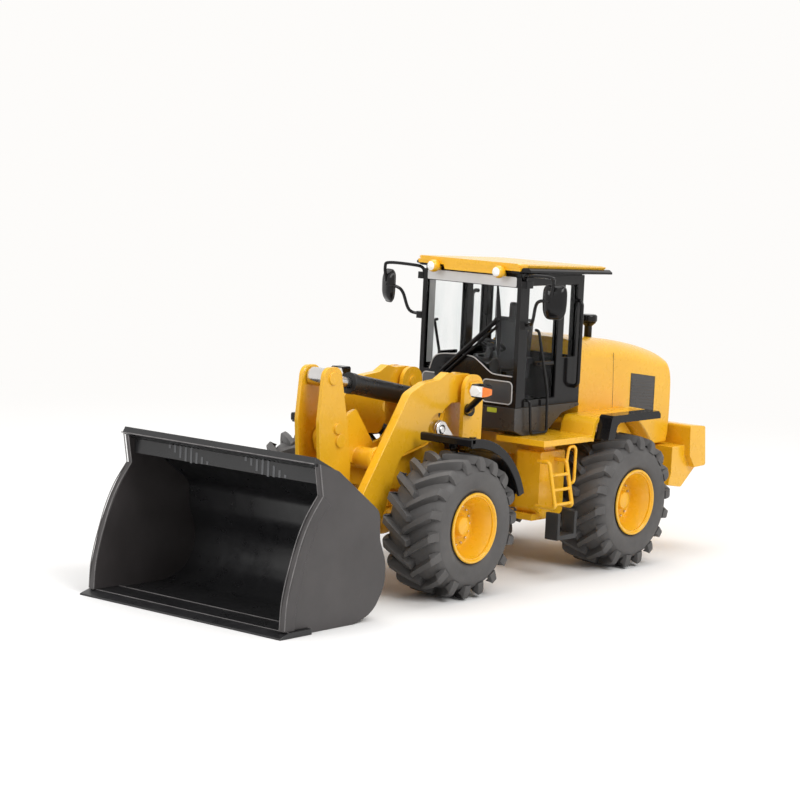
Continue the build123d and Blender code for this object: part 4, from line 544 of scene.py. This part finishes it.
def mirrors():
    """Two domed mirrors on bent arms with clamps on the front pillars, and a grey tube round each mirror's rim as a
    painted highlight.
    """
    body = NODE_BODY["mirrors"]
    parts = []
    rim_highlights = []
    for side in SIDES.values():
        head, rim_line = mirror_head(side)
        parts.append(head)
        # A grey tube round the rim paints the rim's highlight.
        rim_highlights.append(tube(rim_line, 0.12, 6, True))
        upper = smooth_path([(0.2, 14.0, 63.6), (0.7, 14.3, 65.0), (1.6, 16.0, 65.5), (2.6, 22.4, 65.6),
                             (2.9, 23.3, 64.6), (3.0, 22.8, 61.4)])
        lower = smooth_path([(0.2, 14.2, 54.7), (1.4, 17.0, 55.4), (2.2, 18.4, 59.2), (2.7, 19.8, 60.4),
                             (3.0, 22.6, 60.6)])
        for path in (upper, lower):
            parts.append(tube(path * (1, side, 1), 0.36, 10))
        for z in (54.6, 63.4):
            clamp = rounded_box((-1.4, 13.5), (1.55, 15.1), 0.5)
            parts.append(slab([(x, side * y) for x, y in clamp], z - 0.75, z + 0.75, "z"))
    hard_piece("mirrors_moulded", parts, "gloss", body, "mirrors")
    # Grey rim tubes: painted highlights.
    hard_piece("mirror_rim_highlights", rim_highlights, "grey", body)


def wiper():
    """Tapered blade on a double arm; the blade's half-width is w = 0.22 + 0.65 (1 - |t|^1.6)."""
    body = NODE_BODY["wiper"]
    x = CAB_FRONT + 0.75
    t = np.linspace(-1.0, 1.0, 25)
    z = 55.2 + 7.6 * t
    y = 8.1 - 0.5 * t
    w = 0.22 + 0.65 * (1.0 - np.abs(t) ** 1.6)
    ridge = np.stack([np.column_stack([0 * t + x - 0.35, y - w, z]), np.column_stack([x + 0.2 * w / 0.8, y, z]),
                      np.column_stack([0 * t + x - 0.35, y + w, z])], axis=1)
    parts = [(ridge, grid_faces(len(t), 3, False, True) + [(0, 1, 2), (72, 73, 74)])]
    start = np.array([CAB_FRONT + 0.5, -6.9, 42.8])
    end = np.array([CAB_FRONT + 0.95, 8.2, 55.4])
    parts.append(tube([start, end], 0.58, 8))
    parts.append(tube([start + (0, 0.9, -0.5), end + (-0.1, 0.3, -1.2)], 0.34, 8))
    parts.append(tube([end + (-0.6, 0, 0), end + (0.35, 0, 0)], 0.55, 12))
    cover = rounded_box((-8.4, 41.6), (-5.9, 43.6), 0.6)
    parts.append(slab(cover, CAB_FRONT, CAB_FRONT + 1.0))
    hard_piece("wiper_moulded", parts, "gloss", body, "wiper")


ROOF_BACK = -31.0
ROOF_FRONT = 2.6
ROOF_HALF = 15.8


def roof():
    """Thin yellow top that falls a little to the tail, on a black frame with sloping sides."""
    body = NODE_BODY["roof"]
    plan = [(ROOF_FRONT, -14.2), (ROOF_FRONT, 14.2), (1.0, ROOF_HALF), (-29.4, ROOF_HALF), (ROOF_BACK, 14.2),
            (ROOF_BACK, -14.2), (-29.4, -ROOF_HALF), (1.0, -ROOF_HALF)]
    plan = np.array(plan)
    fall = 1.1 * (ROOF_FRONT - plan[:, 0]) / (ROOF_FRONT - ROOF_BACK)
    rings = []
    for grow, height in ((0.93, 66.9), (0.955, 67.65), (0.93, 67.9)):
        centre = np.array([0.5 * (ROOF_FRONT + ROOF_BACK), 0.0])
        ring = centre + (plan - centre) * (grow, grow)
        ring[:, 0] += ROOF_FRONT - ring[:, 0].max()
        rings.append(np.column_stack([ring, height - fall]))
    top = (np.array(rings), grid_faces(3, 8, False, True) + [tuple(range(8)), tuple(range(16, 24))])
    hard_piece("roof_top", [top], "yellow", body, "roof")
    rings = []
    for grow, height in ((0.94, 65.75), (1.0, 66.15), (1.0, 66.6), (0.955, 67.1)):
        ring = plan * (1.0, grow)
        ring[:, 0] = np.minimum(ring[:, 0], ROOF_FRONT - 0.5)
        rings.append(np.column_stack([ring, height - fall * (height > 66)]))
    frame_part = (np.array(rings), grid_faces(4, 8, False, True) + [tuple(range(8)), tuple(range(24, 32))])
    skirt = slab(rounded_box((-21.8, -13.3), (1.0, 13.3), 0.6, 2), 65.0, 65.9, "z")
    hard_piece("roof_frame", [frame_part, skirt], "gloss", body)
    outline = [(-6.6, 65.3), (-7.2, 66.8), (7.2, 66.8), (6.6, 65.3)]
    front = [(-14.0, 66.3), (-14.2, 67.1), (14.2, 67.1), (14.0, 66.3)]
    hard_piece("roof_brow", [slab(outline, 1.3, ROOF_FRONT - 0.1), slab(front, 1.5, ROOF_FRONT - 0.05)], "yellow",
               body)
    band = rounded_box((-12.3, 62.75), (12.3, 64.9), 0.3, 2)
    hard_piece("header_band", [slab(band, CAB_FRONT - 0.2, CAB_FRONT + 0.06)], "post", body)


def work_lights():
    """Round lamp body with a pale lens: r = 1.35 sin t, x = 1.5 cos t."""
    bodies = []
    lenses = []
    for side in SIDES.values():
        for parts, low, high in ((bodies, 0.24, 1.0), (lenses, 0.0, 0.25)):
            t = np.linspace(low, high, 10) * math.pi
            angle = np.linspace(0.0, 2 * math.pi, 28, endpoint=False)
            radius = 1.4 * np.sin(t)[:, None]
            x = 3.4 + 1.5 * np.cos(t)[:, None] + 0 * angle
            y = side * 9.0 + radius * np.cos(angle)
            z = 65.9 + radius * np.sin(angle)
            parts.append((np.stack([x, y, z], axis=-1), grid_faces(10, 28, False, True)))
        bodies.append(slab([(1.4, 64.9), (1.4, 66.0), (2.6, 66.0), (2.6, 64.9)], side * 9.0 - 0.5, side * 9.0 + 0.5,
                           "y"))
    hard_piece("work_lights_painted", bodies, "yellow", NODE_BODY["work_lights"], "work_lights")
    hard_piece("work_light_lenses", lenses, "lens", NODE_BODY["work_lights"])


# ---------------------------------------------------------------- hood and tail
HOOD_HALF = 12.8


def hood():
    """Hood with round shoulders.

    Each outline point p with inward normal n gives p + n b (1 - cos t) at y = h - a (1 - sin t),
    where a and b are the shoulder's reach across and down at that point.
    """
    curved = smooth_path([(-23.2, 50.4, 1), (-31.0, 50.2, 1), (-40.0, 49.5, 1), (-48.0, 48.3, 1), (-55.0, 46.8, 1),
                          (-58.6, 45.3, 0.8), (-60.2, 43.4, 0.5), (-60.9, 40.0, 0.3), (-61.0, 34.0, 0.25),
                          (-60.7, 28.0, 0.22), (-60.2, 25.6, 0.2)], 5)
    straight = [(-59.4, 24.8, 0.1), (-54.8, 24.7, 0.1), (-53.6, 25.2, 0.1), (-50.4, 28.4, 0.1), (-49.4, 29.2, 0.1),
                (-45.0, 33.0, 0.1), (-43.8, 33.3, 0.1), (-23.2, 33.3, 0.1)]
    path = np.vstack([curved, straight])
    ahead = np.roll(path[:, :2], -1, axis=0) - np.roll(path[:, :2], 1, axis=0)
    ahead[0] = (-1.0, 0.0)
    ahead[-1] = (1.0, 0.0)
    ahead /= np.linalg.norm(ahead, axis=1, keepdims=True)
    inward = np.column_stack([-ahead[:, 1], ahead[:, 0]])
    t = np.linspace(0.0, math.pi / 2, 9)
    half = []
    for step in t:
        drop = 4.3 * path[:, 2] * (1.0 - math.cos(step))
        y = HOOD_HALF - 6.0 * path[:, 2] * (1.0 - math.sin(step))
        spot = path[:, :2] + inward * drop[:, None]
        half.append(np.column_stack([spot[:, 0], y, spot[:, 1]]))
    left = np.array(half)
    grid = np.concatenate([left[::-1], left * (1, -1, 1)])
    rows, columns = grid.shape[:2]
    faces = grid_faces(rows, columns, False, True)
    faces += [tuple(range(columns)), tuple(range((rows - 1) * columns, rows * columns))]
    hard_piece("hood_painted", [(grid, faces)], "yellow", NODE_BODY["hood"], "hood", 50.0)


def hood_details():
    """Recess-dark grilles in thin frames, seam lines and the rear panel."""
    body = NODE_BODY["hood_grilles"]
    grilles = []
    seams = []
    for side in SIDES.values():
        shape = [(-43.5, 34.3), (-43.5, 41.9), (-53.3, 40.6), (-53.3, 32.7)]
        y = side * HOOD_HALF
        grilles.append(slab(shape, y - side * 0.3, y + side * 0.04, "y"))
        loop = [(x, y + side * 0.03, z) for x, z in shape]
        seams.append(tube(loop, 0.09, 6, True))
        for ribs in range(9):
            z = 34.6 + 0.75 * ribs
            grilles.append(tube([(-43.9, y + side * 0.04, z), (-52.9, y + side * 0.04, z - 0.9)], 0.10, 6))
        seams.append(tube([(-36.0, y, 47.0), (-36.4, y, 40.0), (-36.6, y, 34.4)], 0.06, 6))
    panel = rounded_box((-11.4, 26.6), (11.4, 43.0), 1.2)
    grilles.append(slab(panel, -60.6, -61.12))
    for row in range(14):
        z = 28.0 + 1.05 * row
        grilles.append(tube([(-61.12, -10.4, z), (-61.12, 10.4, z)], 0.16, 6))
    hard_piece("grille_inserts", grilles, "grey", body, "hood_grilles")
    hard_piece("hood_seams", seams, "plastic", body)


def fender_trims():
    """Black strip along each rear fender: a short leg in front and a long arm above the tyre."""
    parts = []
    for side in SIDES.values():
        shape = [(-18.2, 29.6), (-19.4, 34.4), (-20.0, 34.9), (-37.6, 34.9), (-38.4, 34.2), (-38.4, 33.2),
                 (-22.6, 33.2), (-21.6, 32.6), (-20.6, 29.6)]
        inner = side * 21.4
        outer = side * 24.9
        parts.append(slab(shape, inner, outer, "y"))
    hard_piece("fender_trims_moulded", parts, "gloss", NODE_BODY["fender_trims"], "fender_trims")


# ---------------------------------------------------------------- bucket and arms
BUCKET_BACK = 58.1
SLOT_TOPS = [0.0, 0.0, 0.0, 0.1, 0.1, 0.2, 1.0, 1.7, 2.4]
SLOT_LENGTHS = [0.3, 1.0, 1.7, 2.5, 3.0, 3.1, 2.2, 1.4, 0.6]


def bucket_details():
    """Slotted lip under the upper edge, and pale grey tubes as painted highlights along the side edges, across the
    top edge and behind the blade.
    """
    body = NODE_BODY["bucket_shell"]
    lip_x = BUCKET_BACK + 18.9
    lip = [(-25.1, 28.2), (-25.1, 31.4), (25.1, 31.4), (25.1, 28.2)]
    hard_piece("bucket_lip", [slab(lip, lip_x - 0.5, lip_x)], "bucket", body)
    slots = []
    for start in (-16.6, 4.2):
        for i, (drop, length) in enumerate(zip(SLOT_TOPS, SLOT_LENGTHS)):
            y = start + 1.5 * i
            high = 31.3 - drop
            shape = [(y - 0.28, high - length), (y - 0.28, high), (y + 0.28, high), (y + 0.28, high - length)]
            slots.append(slab(shape, lip_x - 0.1, lip_x + 0.05))
    hard_piece("bucket_slots", slots, "slot", body)
    bar = smooth_path([(19.5, 26.2), (21.5, 23.9), (23.2, 21.6), (25.1, 18.0), (26.6, 13.9), (27.9, 9.8),
                       (28.7, 5.9), (28.9, 1.4)], 4)
    # Pale tubes that paint the highlights along the side edges, the top edge and behind the blade.
    edges = []
    for side in SIDES.values():
        for y in (25.25, 26.6):
            edges.append(tube([(BUCKET_BACK + x, side * y, z) for x, z in bar], 0.11, 6))
            edges.append(tube([(BUCKET_BACK + 20.7, side * y, 32.3), (BUCKET_BACK + 19.5, side * y, 26.2)], 0.11, 6))
    edges.append(tube([(BUCKET_BACK + 21.9, -26.0, 32.5), (BUCKET_BACK + 21.9, 26.0, 32.5)], 0.12, 6))
    edges.append(tube([(BUCKET_BACK + 21.9, -27.0, 1.12), (BUCKET_BACK + 21.9, 27.0, 1.12)], 0.10, 6))
    edges.append(tube([(BUCKET_BACK + 28.2, -27.1, 1.1), (BUCKET_BACK + 28.2, 27.1, 1.1)], 0.09, 6))
    hard_piece("bucket_painted_highlights", edges, "edge", body)


LIFT_EYE = (21.9, 33.1)
LIFT_ROD_WAY = (-0.827752, -0.561094)


def lift_eyes():
    """Bright eye over each lift pin, tapering into its rod, with a ring, a groove in dark plastic as painted shade,
    and a cap.
    """
    way = np.array(LIFT_ROD_WAY)
    across = np.array([-way[1], way[0]])
    centre = np.array(LIFT_EYE)
    round_end = [centre + 1.85 * (math.cos(a) * across - math.sin(a) * way) for a in np.linspace(0.0, math.pi, 25)]
    drop = [*round_end, centre + 5.2 * way - 0.85 * across, centre + 5.2 * way + 0.85 * across]
    ring = [(0.98, 10.1), (1.08, 10.25), (1.7, 10.25), (1.85, 10.1), (1.85, 9.4), (0.98, 9.4)]
    groove = [(0.7, 10.14), (1.05, 10.14), (1.05, 9.8), (0.7, 9.8)]
    cap = [(0.02, 10.42), (0.6, 10.38), (0.78, 10.2), (0.78, 9.4), (0.02, 9.4)]
    place = (LIFT_EYE[0], 0.0, LIFT_EYE[1])
    for name, side in SIDES.items():
        body = NODE_BODY[f"lift_cylinder_rod_{name}"]
        parts = [lathe(ring, place, side, 40), lathe(cap, place, side, 28), slab(drop, side * 9.4, side * 10.0, "y")]
        hard_piece(f"lift_eye_{name}", parts, "steel", body)
        # Dark plastic in the groove paints the shade between cap and ring.
        hard_piece(f"lift_groove_painted_shade_{name}", [lathe(groove, place, side, 28)], "plastic", body)


LAMP = (22.2, 19.8, 42.2)


def headlights():
    """Hexagonal pale lens and an amber one that wraps back and narrows: half height 1.05 - 0.5 s^2."""
    pale = []
    amber = []
    for side in SIDES.values():
        outline = [(-1.7, -1.05), (-2.15, 0.0), (-1.6, 1.15), (1.15, 1.1), (1.15, -1.05)]
        shape = [(side * (LAMP[1] + y), LAMP[2] + z) for y, z in outline]
        pale.append(slab(shape, LAMP[0] - 0.1, LAMP[0] + 0.55))
        middle = [(0.5 * (a[0] + b[0]), 0.5 * (a[1] + b[1])) for a, b in zip(shape, shape[1:] + shape[:1])]
        crown = [(0.82 * y + 0.18 * side * (LAMP[1] - 0.2), 0.82 * z + 0.18 * LAMP[2]) for y, z in middle]
        pale.append(slab(crown, LAMP[0], LAMP[0] + 0.72))
        path = smooth_path([(LAMP[0] + 0.5, 1.17, 0), (LAMP[0] + 0.25, 1.65, 0), (LAMP[0] - 0.5, 2.0, 0),
                            (LAMP[0] - 1.6, 2.1, 0)], 5)
        s = np.linspace(0.0, 1.0, len(path))
        high = 1.05 - 0.5 * s ** 2
        rows = np.stack([np.column_stack([path[:, 0] - dx, side * (LAMP[1] + path[:, 1] - dy), LAMP[2] + up * high])
                         for dx, dy, up in ((0, 0, -1), (0, 0, 1), (0.45, 0.55, 1), (0.45, 0.55, -1))], axis=1)
        caps = [(0, 1, 2, 3), tuple(4 * (len(path) - 1) + i for i in range(4))]
        amber.append((rows, grid_faces(len(path), 4, False, True) + caps))
    hard_piece("headlight_lenses_moulded", pale, "lens", NODE_BODY["headlight_lenses"], "headlight_lenses")
    hard_piece("indicator_lenses_moulded", amber, "amber", NODE_BODY["indicator_lenses"], "indicator_lenses")


def fender_edges():
    """Turned-down front edge and a raised rib with two clips on each front fender."""
    centre_x = WHEEL_X["front"]
    edge = [(29.2, 33.2), (29.5, 33.45), (30.3, 33.4), (30.55, 33.1), (30.5, 31.9), (30.25, 31.7), (29.95, 31.9),
            (29.9, 32.4), (29.2, 32.4)]
    arc = np.radians(np.linspace(90.0, 158.0, 24))
    rib = [(centre_x + r * math.cos(a), WHEEL_Z + r * math.sin(a)) for r, turn in ((18.3, 1), (17.9, -1))
           for a in arc[::turn]]
    for name, side in SIDES.items():
        parts = [slab(edge, side * 11.4, side * 24.9, "y"), slab(rib, side * 22.3, side * 22.7, "y")]
        low, high = sorted((side * 22.0, side * 23.0))
        for angle in (96.0, 112.0):
            a = math.radians(angle)
            x = centre_x + 18.2 * math.cos(a)
            clip = rounded_box((x - 0.7, low), (x + 0.7, high), 0.2, 2)
            parts.append(slab(clip, WHEEL_Z + 17.9 * math.sin(a), WHEEL_Z + 18.45 * math.sin(a), "z"))
        hard_piece(f"fender_edge_{name}", parts, "gloss", NODE_BODY[f"front_fender_{name}"])


def pillar_posts():
    """Pale clear posts on the inner faces of the front pillars."""
    parts = []
    for side in SIDES.values():
        face = side * (CAB_HALF - PILLAR_WIDTH)
        parts.append(slab([(-1.9, 44.2), (-1.9, 64.6), (0.2, 64.6), (0.2, 44.2)], face - side * 0.12, face, "y"))
    hard_piece("pillar_posts", parts, "post", NODE_BODY["cab_frame"])


paint_nodes()
hood()
hood_details()
fender_trims()
bucket_details()
lift_eyes()
headlights()
fender_edges()
pillar_posts()
for end in WHEEL_X:
    for side in SIDES:
        tyre(end, side)
        rim(end, side)
cab_front()
mirrors()
wiper()
roof()
work_lights()


# ---------------------------------------------------------------- studio
BACKDROP = (0.985, 0.972, 0.955)


def floor_material():
    """White sheet with the object's shadow near the middle, fading into the backdrop's tone farther out."""
    material, tree, shader, place = new_material("studio_floor")
    cloud = noise(tree, place, 3.0, 2.0)
    tone = ramp(tree, cloud, 0.3, 0.7, (0.86, 0.855, 0.85), (0.88, 0.877, 0.873))
    tree.links.new(tone, shader.inputs["Base Color"])
    shader.inputs["Roughness"].default_value = 0.9
    shader.inputs["Specular IOR Level"].default_value = 0.1
    length = tree.nodes.new("ShaderNodeVectorMath")
    length.operation = "LENGTH"
    tree.links.new(place, length.inputs[0])
    far = tree.nodes.new("ShaderNodeMapRange")
    far.interpolation_type = "SMOOTHSTEP"
    far.inputs["From Min"].default_value = 0.10
    far.inputs["From Max"].default_value = 0.34
    far.inputs["To Max"].default_value = 1.0
    tree.links.new(length.outputs["Value"], far.inputs["Value"])
    shown = tree.nodes.new("ShaderNodeMath")
    shown.operation = "MULTIPLY"
    tree.links.new(far.outputs["Result"], shown.inputs[0])
    tree.links.new(seen_directly(tree, 1.0), shown.inputs[1])
    glow = tree.nodes.new("ShaderNodeEmission")
    glow.inputs["Color"].default_value = (*BACKDROP, 1)
    glow.inputs["Strength"].default_value = 1.0
    blend = tree.nodes.new("ShaderNodeMixShader")
    tree.links.new(shown.outputs[0], blend.inputs[0])
    tree.links.new(shader.outputs["BSDF"], blend.inputs[1])
    tree.links.new(glow.outputs["Emission"], blend.inputs[2])
    tree.links.new(blend.outputs["Shader"], tree.nodes["Material Output"].inputs["Surface"])
    return material


def seen_directly(tree, level):
    """Level for rays that show the backdrop: camera, glossy and transmission rays."""
    path = tree.nodes.new("ShaderNodeLightPath")
    total = path.outputs["Is Camera Ray"]
    for kind in ("Is Glossy Ray", "Is Transmission Ray"):
        add = tree.nodes.new("ShaderNodeMath")
        add.operation = "ADD"
        add.use_clamp = True
        tree.links.new(total, add.inputs[0])
        tree.links.new(path.outputs[kind], add.inputs[1])
        total = add.outputs[0]
    scale = tree.nodes.new("ShaderNodeMath")
    scale.operation = "MULTIPLY"
    scale.inputs[1].default_value = level
    tree.links.new(total, scale.inputs[0])
    return scale.outputs[0]


def make_world(soft_level):
    """Even pale surround: white behind the object, softer as a light."""
    world = bpy.data.worlds.new("pale_surround")
    bpy.context.scene.world = world
    world.use_nodes = True
    tree = world.node_tree
    background = tree.nodes["Background"]
    background.inputs["Color"].default_value = (*BACKDROP, 1)
    extra = seen_directly(tree, 1.0 - soft_level)
    total = tree.nodes.new("ShaderNodeMath")
    total.operation = "ADD"
    total.inputs[1].default_value = soft_level
    tree.links.new(extra, total.inputs[0])
    tree.links.new(total.outputs[0], background.inputs["Strength"])


def softbox(name, place, target, size, power):
    """Square lamp aimed at a point."""
    lamp = bpy.data.lights.new(name, "AREA")
    lamp.size = size
    lamp.energy = power
    holder = bpy.data.objects.new(name, lamp)
    holder.location = place
    holder.rotation_euler = (Vector(target) - Vector(place)).to_track_quat("-Z", "Y").to_euler()
    bpy.context.scene.collection.objects.link(holder)


def make_studio():
    """Floor, pale surround and three soft lamps."""
    reach = 4.0
    verts = [(-reach, -reach, 0), (reach, -reach, 0), (reach, reach, 0), (-reach, reach, 0)]
    mesh = bpy.data.meshes.new("studio_floor")
    mesh.from_pydata(verts, [], [(0, 1, 2, 3)])
    mesh.materials.append(floor_material())
    floor = bpy.data.objects.new("studio_floor", mesh)
    bpy.context.scene.collection.objects.link(floor)
    make_world(0.55)
    centre = (0.0, 0.0, 0.03)
    softbox("key_lamp", (0.15, 0.75, 0.75), centre, 0.5, 5.6)
    softbox("top_lamp", (-0.2, -0.1, 0.95), centre, 0.7, 4.2)
    softbox("front_lamp", (0.9, -0.1, 0.45), centre, 0.5, 3.8)


def make_camera():
    """Long lens from the machine's front left, a little above the roof."""
    camera = bpy.data.cameras.new("view")
    camera.lens = 110.7
    camera.sensor_width = 36.0
    camera.clip_start = 0.01
    camera.clip_end = 20.0
    holder = bpy.data.objects.new("view", camera)
    right = Vector((-0.63943, 0.76754, 0.04488))
    up = Vector((-0.06012, -0.10811, 0.99232))
    back = Vector((0.76650, 0.63182, 0.11527))
    turn = Matrix((right, up, back)).transposed().to_4x4()
    holder.matrix_world = Matrix.Translation((0.423618, 0.329510, 0.098514)) @ turn
    bpy.context.scene.collection.objects.link(holder)
    bpy.context.scene.camera = holder


make_studio()
make_camera()
bpy.context.scene.view_settings.view_transform = "Standard"
